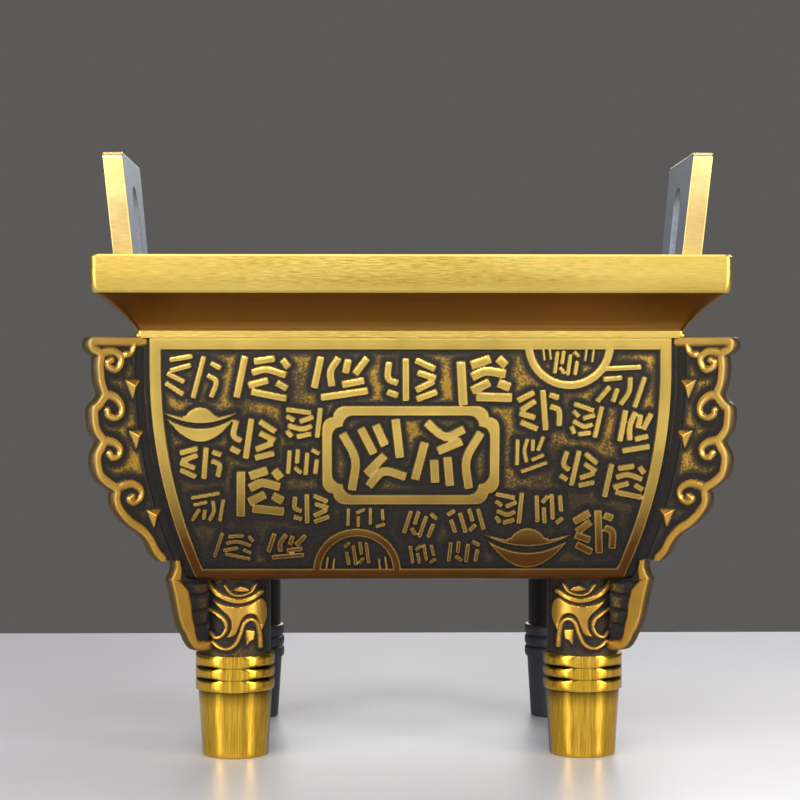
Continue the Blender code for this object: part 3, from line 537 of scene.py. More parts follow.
# Strokes of made-up signs in a unit square. The first two of each are the long ones of the casting.
SIGN_STROKES = (
    (((0.14, 0.46), (0.08, -0.46)), ((-0.44, -0.22), (-0.12, -0.42)), ((-0.44, 0.32), (-0.08, 0.45)),
     ((-0.40, 0.08), (-0.08, 0.24)), ((-0.44, 0.00), (-0.14, -0.14)), ((0.30, 0.34), (0.46, 0.26)),
     ((0.28, 0.06), (0.44, -0.06), (0.40, -0.40))),
    (((-0.32, 0.44), (-0.40, -0.42)), ((-0.14, -0.30), (0.44, -0.40)), ((-0.14, 0.36), (0.18, 0.44)),
     ((-0.16, 0.12), (0.08, 0.20), (0.40, 0.10)), ((0.34, 0.42), (0.44, 0.28)),
     ((-0.20, -0.16), (0.10, -0.04)), ((0.28, -0.08), (0.44, -0.18))),
    (((-0.44, 0.28), (0.28, 0.42)), ((0.40, 0.20), (0.30, -0.44)), ((-0.38, 0.06), (-0.06, 0.14)),
     ((-0.26, -0.10), (-0.44, -0.42)), ((0.12, 0.16), (0.14, -0.14), (0.02, -0.42)),
     ((-0.10, -0.12), (-0.14, -0.38))),
)
LARGE_SIGN = (
    ((-0.42, 0.40), (-0.30, 0.0), (-0.44, -0.42)), ((0.44, 0.44), (0.40, -0.10)),
    ((-0.12, 0.42), (0.00, 0.04)), ((-0.16, -0.42), (0.10, -0.26), (0.42, -0.40)),
    ((0.12, 0.42), (0.20, 0.12)), ((-0.16, -0.24), (0.16, -0.04)),
)
# Small signs, and those on the coins, are uneven dashes and two ticks, leaning left and right by turns
DASHES = (
    ((-0.36, 0.42), (-0.46, -0.36)), ((-0.12, 0.44), (-0.18, 0.00)), ((0.14, 0.30), (0.04, -0.44)),
    ((0.40, 0.04), (0.32, -0.42)), ((0.30, 0.42), (0.46, 0.28)), ((-0.24, -0.20), (-0.10, -0.38)),
)
# Signs of the front: x from the middle, height, width and tallness, as shares of its length and height
FRONT_SIGNS = (
    (-0.402, 0.843, 0.109, 0.19), (-0.275, 0.835, 0.113, 0.20), (-0.132, 0.837, 0.122, 0.20),
    (0.001, 0.831, 0.104, 0.19), (0.132, 0.823, 0.113, 0.21), (0.391, 0.810, 0.100, 0.20),
    (-0.290, 0.589, 0.091, 0.18), (-0.196, 0.656, 0.077, 0.14), (-0.199, 0.494, 0.068, 0.12),
    (0.237, 0.703, 0.086, 0.18), (0.325, 0.666, 0.063, 0.15), (0.413, 0.615, 0.068, 0.20),
    (-0.389, 0.490, 0.086, 0.14), (-0.281, 0.366, 0.100, 0.22), (0.220, 0.523, 0.068, 0.16),
    (0.312, 0.466, 0.073, 0.16), (0.395, 0.412, 0.086, 0.16), (-0.375, 0.310, 0.073, 0.14),
    (-0.185, 0.302, 0.073, 0.13), (-0.083, 0.264, 0.086, 0.09), (0.018, 0.235, 0.063, 0.12),
    (0.103, 0.250, 0.073, 0.11), (0.184, 0.304, 0.059, 0.15), (0.258, 0.300, 0.059, 0.14),
    (0.343, 0.200, 0.082, 0.20), (-0.331, 0.142, 0.082, 0.12), (-0.233, 0.142, 0.082, 0.12),
    (0.023, 0.110, 0.054, 0.09), (0.100, 0.119, 0.068, 0.10),
)
# Their strokes' width as a share of their size, for the bold and the thin ones. The rest are between.
SIGN_STROKE = 0.115
BOLD_STROKE, BOLD_SIGNS = 0.15, (4, 13, 24)
THIN_STROKE, THIN_SIGNS = 0.085, (0, 5, 14, 17, 19, 25)
STROKE_ROUND = 0.00028
SMALL_SIGN = 0.0118
# Small signs on the coins: which coin, then x and height from its centre and size, in its radius
COIN_SIGNS = ((0, -0.06, -0.42, 0.62), (0, -0.55, -0.22, 0.30), (0, 0.50, -0.24, 0.34),
              (1, 0.0, 0.42, 0.62), (1, -0.56, 0.20, 0.32), (1, 0.54, 0.20, 0.32))
SIGN_TILT = 0.07
SIGN_FILL = 0.94
CARTOUCHE_SIGNS = ((-0.21, 0.2), (0.21, math.pi - 0.2))
CARTOUCHE_SIGN_SIZE = (0.38, 0.74)


def sign(strokes, spin, x, z, width, tall, weight=SIGN_STROKE):
    """One sign's strokes as shapes: turned by spin in the unit square, then stretched to size.

    Strokes of three points bend smoothly. Each is drawn narrower by the round of its corners, and a
    width below zero mirrors the sign.
    """
    turn = np.array([(math.cos(spin), math.sin(spin)), (-math.sin(spin), math.cos(spin))])
    broad = weight * math.sqrt(abs(width) * tall)
    shapes = []
    for stroke in strokes:
        path = np.array(stroke) @ turn * SIGN_FILL * (width, tall) + (x, z)
        path = splined(path, 4) if len(path) > 2 else path
        shapes.append([ribbon(path, broad - 2 * STROKE_ROUND)])
    return shapes


def placed(share_x, share_z):
    """A point of a long side, from shares of its length and height."""
    return share_x * BODY_LENGTH, LEG_CLEARANCE + share_z * BODY_HEIGHT


middle_z = placed(0, CARTOUCHE_SHARE)[1]
cartouche = [notched(CARTOUCHE_LENGTH / 2, CARTOUCHE_HEIGHT / 2, CARTOUCHE_NOTCH, middle_z),
             notched(CARTOUCHE_LENGTH / 2 - CARTOUCHE_BAND, CARTOUCHE_HEIGHT / 2 - CARTOUCHE_BAND,
                     CARTOUCHE_NOTCH, middle_z)]
long_frame = [frame_shape(BODY_LENGTH / 2), cartouche]
front_shapes = list(long_frame)
for share_x, share_z in COIN_SHARES:
    coin_x, coin_z = placed(share_x, share_z)
    front_shapes.append([circle(coin_x, coin_z, COIN_RADIUS),
                         circle(coin_x, coin_z, COIN_RADIUS - COIN_BAND)])
for share_x, share_z, size in INGOT_SHARES:
    front_shapes += ingot(*placed(share_x, share_z), INGOT_LENGTH * size)
strokes = []
for order, (share_x, share_z, width, tall) in enumerate(FRONT_SIGNS):
    spin = order // 2 % 2 * math.pi + (order % 5 - 2) * SIGN_TILT
    weight = BOLD_STROKE if order in BOLD_SIGNS else THIN_STROKE if order in THIN_SIGNS else SIGN_STROKE
    size = (width * BODY_LENGTH, tall * BODY_HEIGHT)
    group = SIGN_STROKES[order % 3]
    if size[0] * size[1] < SMALL_SIGN**2:
        group = DASHES
        size = (size[0] * (-1) ** order, size[1])
    strokes += sign(group, spin, *placed(share_x, share_z), *size, weight)
for share_x, spin in CARTOUCHE_SIGNS:
    strokes += sign(LARGE_SIGN, spin, share_x * CARTOUCHE_LENGTH, middle_z,
                    CARTOUCHE_SIGN_SIZE[0] * CARTOUCHE_LENGTH, CARTOUCHE_SIGN_SIZE[1] * CARTOUCHE_HEIGHT)
for order, (coin, from_x, from_z, size) in enumerate(COIN_SIGNS):
    coin_x, coin_z = placed(*COIN_SHARES[coin])
    strokes += sign(DASHES if size > 0.5 else DASHES[:3:2], 0.0, coin_x + from_x * COIN_RADIUS,
                    coin_z + from_z * COIN_RADIUS, size * COIN_RADIUS * (-1) ** order, size * COIN_RADIUS)
square = np.array([(1, 1), (-1, 1), (-1, -1), (1, -1)])
end_shapes = [
    frame_shape(BODY_DEPTH / 2),
    [circle(0, middle_z, END_COIN_RADIUS), circle(0, middle_z, END_COIN_RADIUS - COIN_BAND)],
    [square * (COIN_HOLE + COIN_BAND) / 2 + (0, middle_z), square * COIN_HOLE / 2 + (0, middle_z)],
]
panel("front_panel", BODY_LENGTH / 2, BODY_DEPTH / 2, front_shapes, CELL, 0, strokes)
panel("right_panel", BODY_DEPTH / 2, BODY_LENGTH / 2, end_shapes, END_CELL, 1)
panel("back_panel", BODY_LENGTH / 2, BODY_DEPTH / 2, long_frame, END_CELL, 2)
panel("left_panel", BODY_DEPTH / 2, BODY_LENGTH / 2, end_shapes, END_CELL, 3)


# Corner wings
# Flat plates cast with the body, one on each corner at 45 degrees. Both faces carry a rolled bead
# along the scalloped edge, C-scrolls that spring from it, and three-sided studs near the corner.
SEAM_Z = LEG_CLEARANCE + 0.0075
WING_TOP = BODY_TOP + MOULDING_STEP / 3
CORNER_LINE_X = (BODY_LENGTH - BODY_DEPTH) / 2
WING_REACH = 0.0180
WING_WEB = 0.0024
WING_BEAD = 0.0040
WING_BEAD_WIDTH = 0.0024
WING_ROOT = 0.0030
SCROLL_WIDTH = 0.0019
STUD_RISE = 0.0014
STUD_HALF_WIDTH = 0.0023
STUD_HALF_HEIGHT = 0.0032
STUD_LIP = 0.0003
STUD_SLOPE = 0.72
WING_CELL = 0.0004
WING_TIP = 0.00015
ROLL = 0.0009
NOTCH_DEPTH = 0.00035
NOTCH_HALF_WIDTH = 0.0012
CORNER_STRIP = 0.0030
STRIP_LINE_HALF_WIDTH = 0.0006
STRIP_LINE_RISE = 0.00018
LOW_LIFT = 0.0001
LOWER_WING_RUB = 0.62
# Only a scroll with more points than this thickens towards its root
LONG_SCROLL = 30
# Seen from the front, the bead's face stands this much further out than the plate's middle plane
EDGE_SET_BACK = 0.00141
# The scalloped edge from the top to the seam, arc by arc, in millimetres: distance from the middle
# line, then height. Arcs share their end points, which are the cusps.
WING_EDGE = (
    ((70.5, 151.2), (80.0, 151.2), (88.0, 151.2)),
    ((88.0, 151.2), (89.6, 150.9), (90.6, 149.8), (90.9, 147.7), (90.3, 145.9), (89.1, 144.8), (88.0, 144.3)),
    ((88.0, 144.3), (88.3, 141.5), (88.2, 138.3), (87.8, 134.7), (86.8, 131.2)),
    ((86.8, 131.2), (88.2, 128.9), (89.6, 127.4), (90.0, 124.8), (89.8, 121.1), (89.1, 118.0), (87.3, 114.8)),
    ((87.3, 114.8), (88.5, 112.2), (89.1, 109.7), (88.9, 106.0), (87.8, 102.3), (85.5, 99.6), (83.1, 97.7)),
    ((83.1, 97.7), (83.3, 94.7), (82.7, 91.8), (80.9, 88.6), (78.5, 85.6), (74.6, 82.2)),
    ((74.6, 82.2), (72.6, 79.3), (71.2, 76.0), (70.0, 73.9), (68.8, 72.5)),
)
LEG_WING_EDGE = (
    ((64.1, 72.3), (63.9, 69.7)),
    ((63.9, 69.7), (64.5, 67.7), (65.3, 66.0), (65.3, 64.9), (64.5, 61.2)),
    ((64.5, 61.2), (63.7, 56.6), (62.9, 52.0), (61.9, 48.3), (60.6, 45.6), (59.8, 43.5), (58.6, 41.1)),
    ((58.6, 41.1), (57.1, 39.7), (54.4, 39.1), (51.9, 39.1)),
)
# Width of the lower wing's bead at heights from its foot to the seam
LEG_BEAD = ((0.038, 0.042, 0.046, 0.050, 0.056, 0.0616, 0.0648, 0.0706),
            (0.0029, 0.0032, 0.0044, 0.0058, 0.0070, 0.0068, 0.0044, 0.0028))
WING_STUDS = ((0.16, 0.766), (0.18, 0.545), (0.19, 0.190))
# Scroll centrelines, in millimetres: distance from the middle line, then height
SCROLLS = (
    ((86.9, 144.6), (84.5, 145.6), (81.7, 146.0), (79.6, 144.4), (79.3, 142.1), (80.6, 139.8), (82.7, 140.3),
     (83.5, 142.0), (82.2, 143.0)),
    ((85.7, 129.4), (83.1, 131.0), (80.8, 129.9), (79.2, 127.2), (79.4, 124.3), (81.3, 123.1), (83.2, 124.1),
     (83.5, 125.7)),
    ((85.7, 115.0), (83.6, 115.3), (81.3, 114.6), (79.6, 112.4), (80.1, 110.0), (82.0, 109.5), (82.9, 110.9)),
    ((80.8, 98.7), (78.4, 99.9), (75.6, 100.0), (73.2, 98.0), (73.3, 95.1), (75.3, 93.6), (76.9, 94.8),
     (75.8, 95.8)),
    ((75.3, 149.8), (75.4, 147.8), (75.8, 146.3), (76.7, 145.2), (77.9, 144.9)),
)
ROOT_TWO = math.sqrt(2)


def outline_through(arcs):
    """One edge in metres through arcs of points in millimetres, smooth within each arc."""
    return np.concatenate([splined(np.array(arc) / 1000, 5)[:-1] for arc in arcs]
                          + [np.array(arcs[-1][-1:]) / 1000])


def corner_reach(z):
    """The body corner's distance from its middle line at height z."""
    return BODY_DEPTH / 2 - side_inset(z)


def path_gap(across, z, path, half_widths=None):
    """Distance from points to an open path, or to a strip along it as wide as its half widths say."""
    half_widths = np.zeros(len(path)) if half_widths is None else half_widths
    nearest = np.full(across.shape, np.inf)
    for start, end, half_a, half_b in zip(path[:-1], path[1:], half_widths[:-1], half_widths[1:]):
        away_x, away_z, share = from_stretch(across, z, start, end)
        nearest = np.minimum(nearest, np.hypot(away_x, away_z) - half_a - share * (half_b - half_a))
    return nearest


def wing(name, edge, root, level, body, bead, scrolls, studs, notches, signs):
    """A plate at 45 degrees from a corner: at each height a ring out along one face and back on the other.

    Half its thickness is the web's, plus a bead along the edge, as wide as bead says at each height
    and rolled off on both sides, plus rolled scrolls, less shallow notches, plus studs that rise with
    the distance from their own edges. All are measured true to size in the plate's plane, where a
    step along x counts for the root of two.
    """
    order = np.argsort(edge[:, 1])
    reach = np.interp(level, edge[order, 1], edge[order, 0])
    columns = math.ceil((reach - root).max() * ROOT_TWO / WING_CELL)
    share = np.linspace(0, 1, columns)[None]
    u = root[:, None] + (reach - root)[:, None] * share
    z = level[:, None] + 0 * u
    flat = u * ROOT_TWO
    from_edge = path_gap(flat, z, edge * (ROOT_TWO, 1))
    from_body = (u - body[:, None]) * ROOT_TWO
    strip = CORNER_STRIP if scrolls else 0.0
    within = bead[:, None] - from_edge
    for path in scrolls:
        along = np.linspace(0, 1, len(path))
        root_swell = 0.36 * (1 - along) ** 2 * (len(path) > LONG_SCROLL)
        half_widths = SCROLL_WIDTH * (0.56 + root_swell + 0.10 * along**6)
        within = np.maximum(within, -path_gap(flat, z, path * (ROOT_TWO, 1), half_widths))
    fall = held(within / ROLL)
    shoulder = held(from_edge / ROLL)
    rolled = np.sqrt(1 - (1 - fall) ** 2) * (0.45 + 0.55 * np.sqrt(1 - (1 - shoulder) ** 2))
    lift = (WING_BEAD - WING_WEB) / 2 * rolled
    line = held(1 - np.abs(from_body - CORNER_STRIP) / STRIP_LINE_HALF_WIDTH) * bool(scrolls)
    lift = np.maximum(lift, STRIP_LINE_RISE * line * (2 - line))
    sunk = np.zeros(u.shape)
    for path in notches:
        near = 1 - (path_gap(flat, z, path * (ROOT_TWO, 1)) / NOTCH_HALF_WIDTH) ** 2
        sunk = np.maximum(sunk, held(near) * (lift < LOW_LIFT))
    gap = np.full(u.shape, GAP_REACH)
    for stud_u, stud_z in studs:
        corners = np.array([(-STUD_HALF_WIDTH, STUD_HALF_HEIGHT), (0, -STUD_HALF_HEIGHT),
                            (STUD_HALF_WIDTH, STUD_HALF_HEIGHT)]) + (stud_u, stud_z)
        gap = np.minimum(gap, signed_gap(flat, z, [corners * (ROOT_TWO, 1)]))
    lift = np.maximum(lift, np.where(gap < 0, STUD_LIP + np.minimum(-gap * STUD_SLOPE, STUD_RISE), 0))
    raised = held((lift - 0.0002) / 0.0003) * (0.25 + 0.75 * held(from_edge / 0.0010))
    ground = held((-within - 0.0006) / 0.0036) ** 1.4 * held(gap / 0.0024) * (1 - sunk)
    ground = ground * held((from_body - strip) / 0.0025) * (lift < LOW_LIFT)
    ground = ground * (1.0 if scrolls else LOWER_WING_RUB)
    half = WING_WEB / 2 + lift - NOTCH_DEPTH * sunk + GROUND_SWELL * swell(flat, z) * ground
    normal = half / ROOT_TWO
    edge_mid = np.stack([reach + WING_TIP, reach + WING_TIP, level], 1)[:, None]
    face = np.stack([u + normal, u - normal, z], axis=-1)
    back = np.stack([u - normal, u + normal, z], axis=-1)[:, ::-1]
    rings = np.concatenate([face, edge_mid, back], axis=1) + (CORNER_LINE_X, 0, 0)
    rub = np.concatenate([raised, raised[:, -1:] * 0.8, raised[:, ::-1]], axis=1)
    clear = np.concatenate([ground, ground[:, -1:] * 0, ground[:, ::-1]], axis=1)
    for place, (sign_x, sign_y) in signs.items():
        made = lofted(f"{name}_{place}", rings * (sign_x, sign_y, 1), sign_x != sign_y,
                      raised=rub, open_ground=clear)
        finished(made, [rubbed_brass], sharp=50)
        yield place, made


# Rubbed brass of the wings and legs: the same casting and browning, buffed harder, so what stands
# proud stays yellow gold down to the rings.
rubbed_brass = patinated("rubbed_brass", "CDA856", "C99B42", "191614", "B08A38")
CORNERS = {"front_left": (-1, -1), "front_right": (1, -1), "back_left": (-1, 1), "back_right": (1, 1)}
edge = outline_through(WING_EDGE) + (-EDGE_SET_BACK, 0)
edge[:, 1] = np.minimum(edge[:, 1], WING_TOP)
level = np.linspace(SEAM_Z, WING_TOP, round((WING_TOP - SEAM_Z) / WING_CELL))
studs = []
for reach, height_share in WING_STUDS:
    stud_z = SEAM_Z + (WING_TOP - SEAM_Z) * height_share
    studs.append((corner_reach(stud_z) + WING_REACH * reach, stud_z))
scrolls = [splined(np.array(points) / 1000) for points in SCROLLS]
bead = np.full(len(level), WING_BEAD_WIDTH + ROLL)
body = corner_reach(level)
for place, made in wing("wing", edge, body - WING_ROOT, level, body, bead, scrolls, studs, [], CORNERS):
    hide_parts("vessel")


# Legs
# Four solid castings under the body's corners, each with the lower end of its corner's wing. Half a
# mask wraps each outer side of the column; below it are three turned rings and a plain polished foot.
LEG_INSET = 0.0163
COLUMN_RADIUS = 0.0129
RING_RADIUS = 0.0144
RING_TOP = 0.0370
RING_HEIGHT = 0.0128
RING_BARREL = 0.0004
GROOVE_DEPTH = 0.0007
GROOVE_WIDTH = 0.0012
FOOT_TOP_RADIUS = 0.0134
FOOT_BOTTOM_RADIUS = 0.0119
FOOT_EDGE = 0.0006
RING_FADE = 0.76
# Points round a leg, and how far the grooves of its rings are rubbed away
FRONT_LEG = (248, 1.0)
BACK_LEG = (168, 0.25)
# Angles from a leg's outermost line, at which the mask and the bright outer side end, and that side's fade
MASK_END = math.radians(140)
OUTER_SIDE_END = math.radians(130)
OUTER_SIDE_FADE = math.radians(25)
FIT_GAP = 0.0003
LEG_WING_RISE = 0.0021
NOTCH_HEIGHTS = (63.4, 58.3, 52.6, 47.2)
MASK_RELIEF = 0.0009
# Half a mask, square on to one side of the leg, in millimetres: inwards from the axis, then height
MASK_BROW = ((-9.4, 64.2), (-7.4, 61.2), (-3.6, 58.4), (1.8, 56.9), (6.4, 57.9), (9.6, 60.0))
MASK_SOCKET = ((-3.0, 62.6), (-0.6, 59.6), (2.8, 58.9), (6.2, 60.2), (7.8, 62.8))
MASK_FACE = ((-7.2, 57.2), (-3.2, 55.6), (1.6, 54.9), (6.0, 55.8), (9.4, 57.6), (11.0, 55.4), (11.2, 50.6),
             (9.6, 46.2), (9.0, 49.2), (7.6, 51.6), (5.2, 52.2), (3.2, 50.6), (2.0, 47.6), (0.6, 44.8),
             (-2.2, 43.8), (-0.9, 46.0), (-0.5, 49.0), (-1.6, 51.6), (-4.4, 54.2))
MASK_EYE = ((0.2, 60.9), (1.4, 61.9), (3.0, 62.2), (4.6, 61.7), (5.6, 60.7), (4.0, 60.3), (2.0, 60.4))
MASK_CURL = ((-8.6, 53.6), (-5.4, 52.0), (-3.0, 49.8), (-2.4, 47.0), (-3.8, 44.6), (-6.2, 43.7), (-8.2, 45.2))
MASK_WAVE = ((-7.4, 42.2), (-4.6, 40.2), (-1.8, 39.8), (0.9, 41.4), (2.6, 45.0), (3.8, 48.6), (5.9, 50.3),
             (8.2, 48.8), (9.2, 44.8), (9.5, 40.2))
MASK_TOOTH = ((4.4, 46.6), (7.4, 46.4), (7.2, 42.8), (6.0, 42.6), (4.8, 41.0))
MASK_LINES = ((MASK_BROW, 1.7), (MASK_CURL, 1.2), (MASK_WAVE, 1.2), (MASK_SOCKET, 0.8))

# Polished brass: the feet and rings are buffed up and down, which leaves faint upright lines, drawn
# 0.5 mm apart. It gives deep yellow highlights with soft sides, and turns dull blue-grey where the legs turn
# inwards.
polished_brass, add, shader = new_material("polished_brass")
way = add("UVMap", uv_map="grain")
fine = add("Mapping", {"Vector": way, "Scale": (1 / 0.0005, 1 / 0.012, 1)})
lines = add("TexNoise", {"Vector": fine, "Scale": 1.0, "Detail": 3.0})
rubbed_and_unshaded = add("Attribute", attribute_name="raised").outputs["Fac"]
buffed = add("Attribute", attribute_name="buffed").outputs["Fac"]
share = add("MapRange", {"Value": lines, "From Min": 0.35, "From Max": 0.65})
tint = add("Mix", {0: share, 6: "BF9128", 7: "E8BE44"}, data_type="RGBA")
# Dark brown where the attribute raised is low: painted shadow under the rings, and painted shade with patina
# in their grooves.
outer = add("Mix", {0: rubbed_and_unshaded, 6: "3A2912", 7: tint.outputs[2]}, data_type="RGBA")
skin = add("Mix", {0: buffed, 6: "3C3E44", 7: outer.outputs[2]}, data_type="RGBA")
plating = add("MapRange", {"Value": buffed, "To Min": 0.3, "To Max": 1.0})
gloss = add("MapRange", {"Value": buffed, "To Min": 0.5, "To Max": 0.23})
ridges = add("Bump", {"Height": lines, "Strength": 0.14, "Distance": 0.0001})
plug(shader, {"Base Color": skin.outputs[2], "Metallic": plating, "Roughness": gloss, "Normal": ridges})


def leg(name, sign_x, sign_y, around, polish):
    """A column, rings and foot: at each height a circle whose radius is the profile's plus the mask's.

    The mask is drawn flat and projected on to the column, once square to the front and once
    square to the end, the two meeting on the corner's diagonal. Angles are counted from that diagonal.
    Polish is how far the rings' grooves are rubbed away in the middle of each outer side.
    """
    ring_low = RING_TOP - RING_HEIGHT
    foot_level = np.concatenate([[0, FOOT_EDGE * 0.3], np.linspace(FOOT_EDGE, ring_low - 0.0003, 16)])
    foot = FOOT_BOTTOM_RADIUS + (FOOT_TOP_RADIUS - FOOT_BOTTOM_RADIUS) * foot_level / ring_low
    foot[:2] -= (FOOT_EDGE, FOOT_EDGE * 0.3)
    turned = np.linspace(ring_low, RING_TOP, 34)
    top = np.linspace(RING_TOP + 0.0002, LEG_CLEARANCE - FIT_GAP, around // 2)
    level = np.concatenate([foot_level, turned, top])[:, None]
    in_ring = (turned - ring_low) / (RING_HEIGHT / 3) % 1 * 2 - 1
    in_ring[-1] = 1
    barrel = np.concatenate([0 * foot, RING_BARREL * in_ring**4, 0 * top])[:, None]
    radius = np.concatenate([foot, 0 * turned + RING_RADIUS, 0 * top + COLUMN_RADIUS])[:, None]
    ringed = (level >= ring_low) & (level <= RING_TOP)
    turn = np.linspace(0, 2 * math.pi, around, endpoint=False)[None]
    from_diagonal = np.abs((turn - math.pi / 4 + math.pi) % (2 * math.pi) - math.pi)
    from_front = np.abs(from_diagonal - math.pi / 4)
    rubbed = 1 - RING_FADE * polish * held(1.25 - from_front * 2.2)
    groove = np.zeros((len(level), around))
    for share in (1, 2):
        gap = np.abs(level - (RING_TOP - RING_HEIGHT * share / 3))
        groove = np.maximum(groove, held(1 - gap / (GROOVE_WIDTH * 0.75 * rubbed + 1e-6)) * rubbed)
    groove = groove * ringed
    buffed = held((OUTER_SIDE_END - from_diagonal) / OUTER_SIDE_FADE)
    inward = -COLUMN_RADIUS * np.cos(math.pi / 4 + from_diagonal) * 1000 + 0 * level
    z = level * 1000 + 0 * inward
    gap = np.full(inward.shape, 5.0)
    for path, width in MASK_LINES:
        gap = np.minimum(gap, path_gap(inward, z, splined(path)) - width / 2)
    for outline in (splined(MASK_FACE + MASK_FACE[:1], 4)[:-1], splined(MASK_EYE + MASK_EYE[:1], 4)[:-1],
                    np.array(MASK_TOOTH)):
        gap = np.minimum(gap, signed_gap(inward, z, [outline]))
    carved = (level > RING_TOP) & (from_diagonal < MASK_END)
    mask = np.where(carved, held(0.5 - gap / 0.5), 0)
    mask = mask**2 * (3 - 2 * mask)
    cut = held((rubbed - 1 + RING_FADE) / RING_FADE)
    out = radius - np.maximum(GROOVE_DEPTH * groove, barrel) * cut + MASK_RELIEF * mask
    inset = side_inset(LEG_CLEARANCE) + LEG_INSET
    x = BODY_LENGTH / 2 - inset + out * np.cos(turn)
    y = BODY_DEPTH / 2 - inset + out * np.sin(turn)
    rings = np.stack([x, y, level + 0 * out], axis=-1) * (sign_x, sign_y, 1)
    # Painted shadow under the rings: the foot is darkest just below them and lightens over 6 mm down. The
    # grooves darken too, as painted shade and the patina left in them.
    in_shade = held((ring_low - level) / 0.006) ** 0.7 + ringed
    rubbed_and_unshaded = np.where(level > RING_TOP, mask * buffed, np.minimum(in_shade, 1) - held(groove * 2.4))
    rubbed_and_unshaded = held(rubbed_and_unshaded)
    buffed = buffed + 0 * rubbed_and_unshaded
    open_ground = np.where(carved, np.clip(gap / 2.5 - 0.25, 0, 0.45), 0.05) * buffed
    made = lofted(name, rings, sign_x != sign_y, raised=rubbed_and_unshaded, open_ground=open_ground, buffed=buffed)
    bands = (level[1:, 0] > RING_TOP).astype(int)
    finished(made, [polished_brass, rubbed_brass], bands)
    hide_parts(name.replace("_column", ""))
    return made


for place, (sign_x, sign_y) in CORNERS.items():
    leg(f"leg_{place}_column", sign_x, sign_y, *(FRONT_LEG if sign_y < 0 else BACK_LEG))
wing_low = RING_TOP + LEG_WING_RISE
wing_high = SEAM_Z - FIT_GAP
edge = outline_through(LEG_WING_EDGE) + (-EDGE_SET_BACK, 0)
level = np.linspace(wing_low, wing_high, round((wing_high - wing_low) / WING_CELL))
root = np.where(level < LEG_CLEARANCE, edge[-1, 0] - 0.001, corner_reach(level) + FIT_GAP)
notches = [np.array([(52.0, z + 0.9), (57.0, z + 0.3), (62.4, z - 0.9)]) / 1000 for z in NOTCH_HEIGHTS]
column = BODY_DEPTH / 2 - side_inset(LEG_CLEARANCE) - LEG_INSET + COLUMN_RADIUS / ROOT_TWO
body = np.where(level < LEG_CLEARANCE, column, corner_reach(level))
bead = np.interp(level, *LEG_BEAD)
for place, made in wing("leg_wing", edge, root, level, body, bead, [], [], notches, CORNERS):
    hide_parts(f"leg_{place}")


# Handles
# Two upright ears with a round-topped slot, cast apart and fixed to the rim's short sides, leaning
# outwards. Their outer edges are brushed pale gold, while both broad faces and the slot keep a grey cast
# skin, dark in the slot as painted shade.
HANDLE_HEIGHT = 0.0412
HANDLE_FOOT_WIDTH = 0.052
HANDLE_TOP_WIDTH = 0.058
HANDLE_THICKNESS = 0.0077
HANDLE_LEAN = 0.100
HANDLE_CORNER = 0.0022
HANDLE_EDGE = 0.0006
SLOT_WIDTH = 0.016
SLOT_HEIGHT = 0.0304

# Raw cast skin: grey oxide with a sandy tooth, drawn at 1.1 mm, which scatters light and looks blue-grey.
cast_skin, add, shader = new_material("grey_cast_skin")
place = add("TexCoord").outputs["Object"]
sand = add("TexNoise", {"Vector": place, "Scale": 1 / 0.0011, "Detail": 4.0, "Roughness": 0.65})
tint = add("Mix", {0: sand, 6: "646A76", 7: "9AA0AC"}, data_type="RGBA")
tooth = add("Bump", {"Height": sand, "Strength": 0.5, "Distance": 0.0003})
plug(shader, {"Base Color": tint.outputs[2], "Normal": tooth, "Metallic": 0.5, "Roughness": 0.55})


def handle(name, side):
    """An upright of even thickness: its outline carried through along x, which leans with height."""
    foot, top, slot = HANDLE_FOOT_WIDTH / 2, HANDLE_TOP_WIDTH / 2, SLOT_WIDTH / 2
    spring = SLOT_HEIGHT - slot
    arch = math.pi * (1 - np.linspace(0, 1, 25))
    corner = bowed([(top, HANDLE_HEIGHT - HANDLE_CORNER, -0.41),
                    (top - HANDLE_CORNER, HANDLE_HEIGHT, 0)], steps=9)
    outline = np.concatenate([
        [(slot, 0), (foot, 0)], corner, corner[::-1] * (-1, 1), [(-foot, 0), (-slot, 0)],
        np.stack([slot * np.cos(arch), spring + slot * np.sin(arch)], 1)])
    outline = outline[np.r_[True, np.linalg.norm(np.diff(outline, axis=0), axis=1) > 1e-7]]
    outer = RIM_LENGTH / 2 - RIM_EDGE
    x = np.array([outer - HANDLE_THICKNESS, outer])[:, None] + HANDLE_LEAN * outline[None, :, 1]
    y = outline[None, :, 0] + 0 * x
    z = RIM_TOP + FIT_GAP + outline[None, :, 1] + 0 * x
    rings = np.stack([x, y, z], axis=-1) * (side, 1, 1)
    made = lofted(name, rings, side < 0, raised=np.ones(rings.shape[:2]),
                  open_ground=np.zeros(rings.shape[:2]))
    finished(made, [pale_brass, cast_skin])
    grain = made.data.uv_layers["grain"].data
    way = np.empty(2 * len(grain), np.float32)
    grain.foreach_get("uv", way)
    grain.foreach_set("uv", way.reshape(-1, 2)[:, ::-1].ravel())
    middle = (outline + np.roll(outline, -1, 0)) / 2
    # The slot's faces take the grey cast skin, for the rough casting inside it and as painted shade within
    # the slot.
    in_slot = (np.abs(middle[:, 0]) < slot + HANDLE_EDGE) & (middle[:, 1] < SLOT_HEIGHT + HANDLE_EDGE)
    in_slot = in_slot if side > 0 else np.roll(in_slot[::-1], -1)
    made.data.polygons.foreach_set("material_index", np.r_[in_slot, 1, 1].astype(np.int32))
    soft = made.modifiers.new("soft_edges", "BEVEL")
    soft.width = HANDLE_EDGE
    soft.segments = 3
    soft.limit_method = "ANGLE"
    soft.angle_limit = math.radians(40)
    soft.harden_normals = True
    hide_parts(name.replace("_ear", ""))


# Pale brushed brass: the ears' narrow edges are ground last and lightest, nearly cream.
pale_brass = brushed("pale_brushed_brass", "CAAC66", "E0C688")
handle("handle_left_ear", -1)
handle("handle_right_ear", 1)


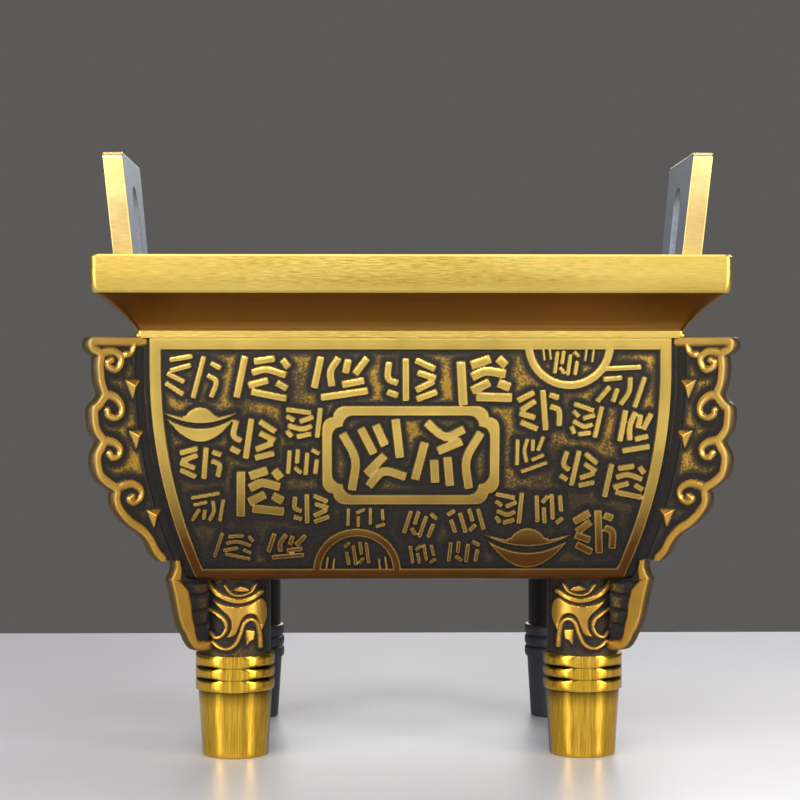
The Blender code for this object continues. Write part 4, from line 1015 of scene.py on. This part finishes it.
# Studio: a plain pale table, a plain wall of soft light, and the camera at the photograph's place.
floor_mesh = bpy.data.meshes.new("floor")
floor_mesh.from_pydata([(-1.5, -1.2, 0), (1.5, -1.2, 0), (1.5, 0.30, 0), (-1.5, 0.30, 0)], [], [(0, 1, 2, 3)])
floor = new_object("floor", floor_mesh)
pale, _, shader = new_material("pale_table")
plug(shader, {"Base Color": "C2C0C4", "Roughness": 0.35})
floor_mesh.materials.append(pale)

world = bpy.data.worlds.new("studio")
bpy.context.scene.world = world
world.use_nodes = True
plug(world.node_tree.nodes["Background"], {"Color": "A5A2A0", "Strength": 0.28})
bpy.context.scene.view_settings.view_transform = "Standard"
for name, spot, target, width, tall, power in (
    ("key", (-0.10, -1.15, 0.80), (0, 0, 0.14), 1.2, 0.5, 17),
    ("fill_left", (-0.95, -0.75, 0.35), (0, 0, 0.10), 0.35, 0.9, 9),
    ("fill_right", (0.95, -0.75, 0.35), (0, 0, 0.10), 0.35, 0.9, 9),
    ("top", (0, 0.10, 1.15), (0, 0, 0.1), 0.9, 0.6, 5),
    ("rear", (0.3, 1.20, 0.70), (0, 0, 0.12), 1.0, 0.5, 9),
    ("front_left", (-0.38, -1.20, 0.22), (0, 0, 0.10), 0.16, 0.4, 0.4),
    ("front_right", (0.38, -1.20, 0.22), (0, 0, 0.10), 0.16, 0.4, 0.4),
):
    light = bpy.data.lights.new(name, "AREA")
    light.shape = "RECTANGLE"
    light.size = width
    light.size_y = tall
    light.energy = power
    lamp = new_object(name, light)
    lamp.location = spot
    gaze = np.array(target) - spot
    lamp.rotation_euler = (math.atan2(math.hypot(gaze[0], gaze[1]), -gaze[2]), 0,
                           math.atan2(-gaze[0], gaze[1]))

lens = bpy.data.cameras.new("camera")
lens.sensor_width = 36
lens.lens = 90
camera = new_object("camera", lens)
camera.location = (-0.0157, -0.770, 0.1375)
camera.rotation_euler = (math.pi / 2 - math.atan(24 / 2000), 0, -math.atan(34 / 2000))
bpy.context.scene.camera = camera
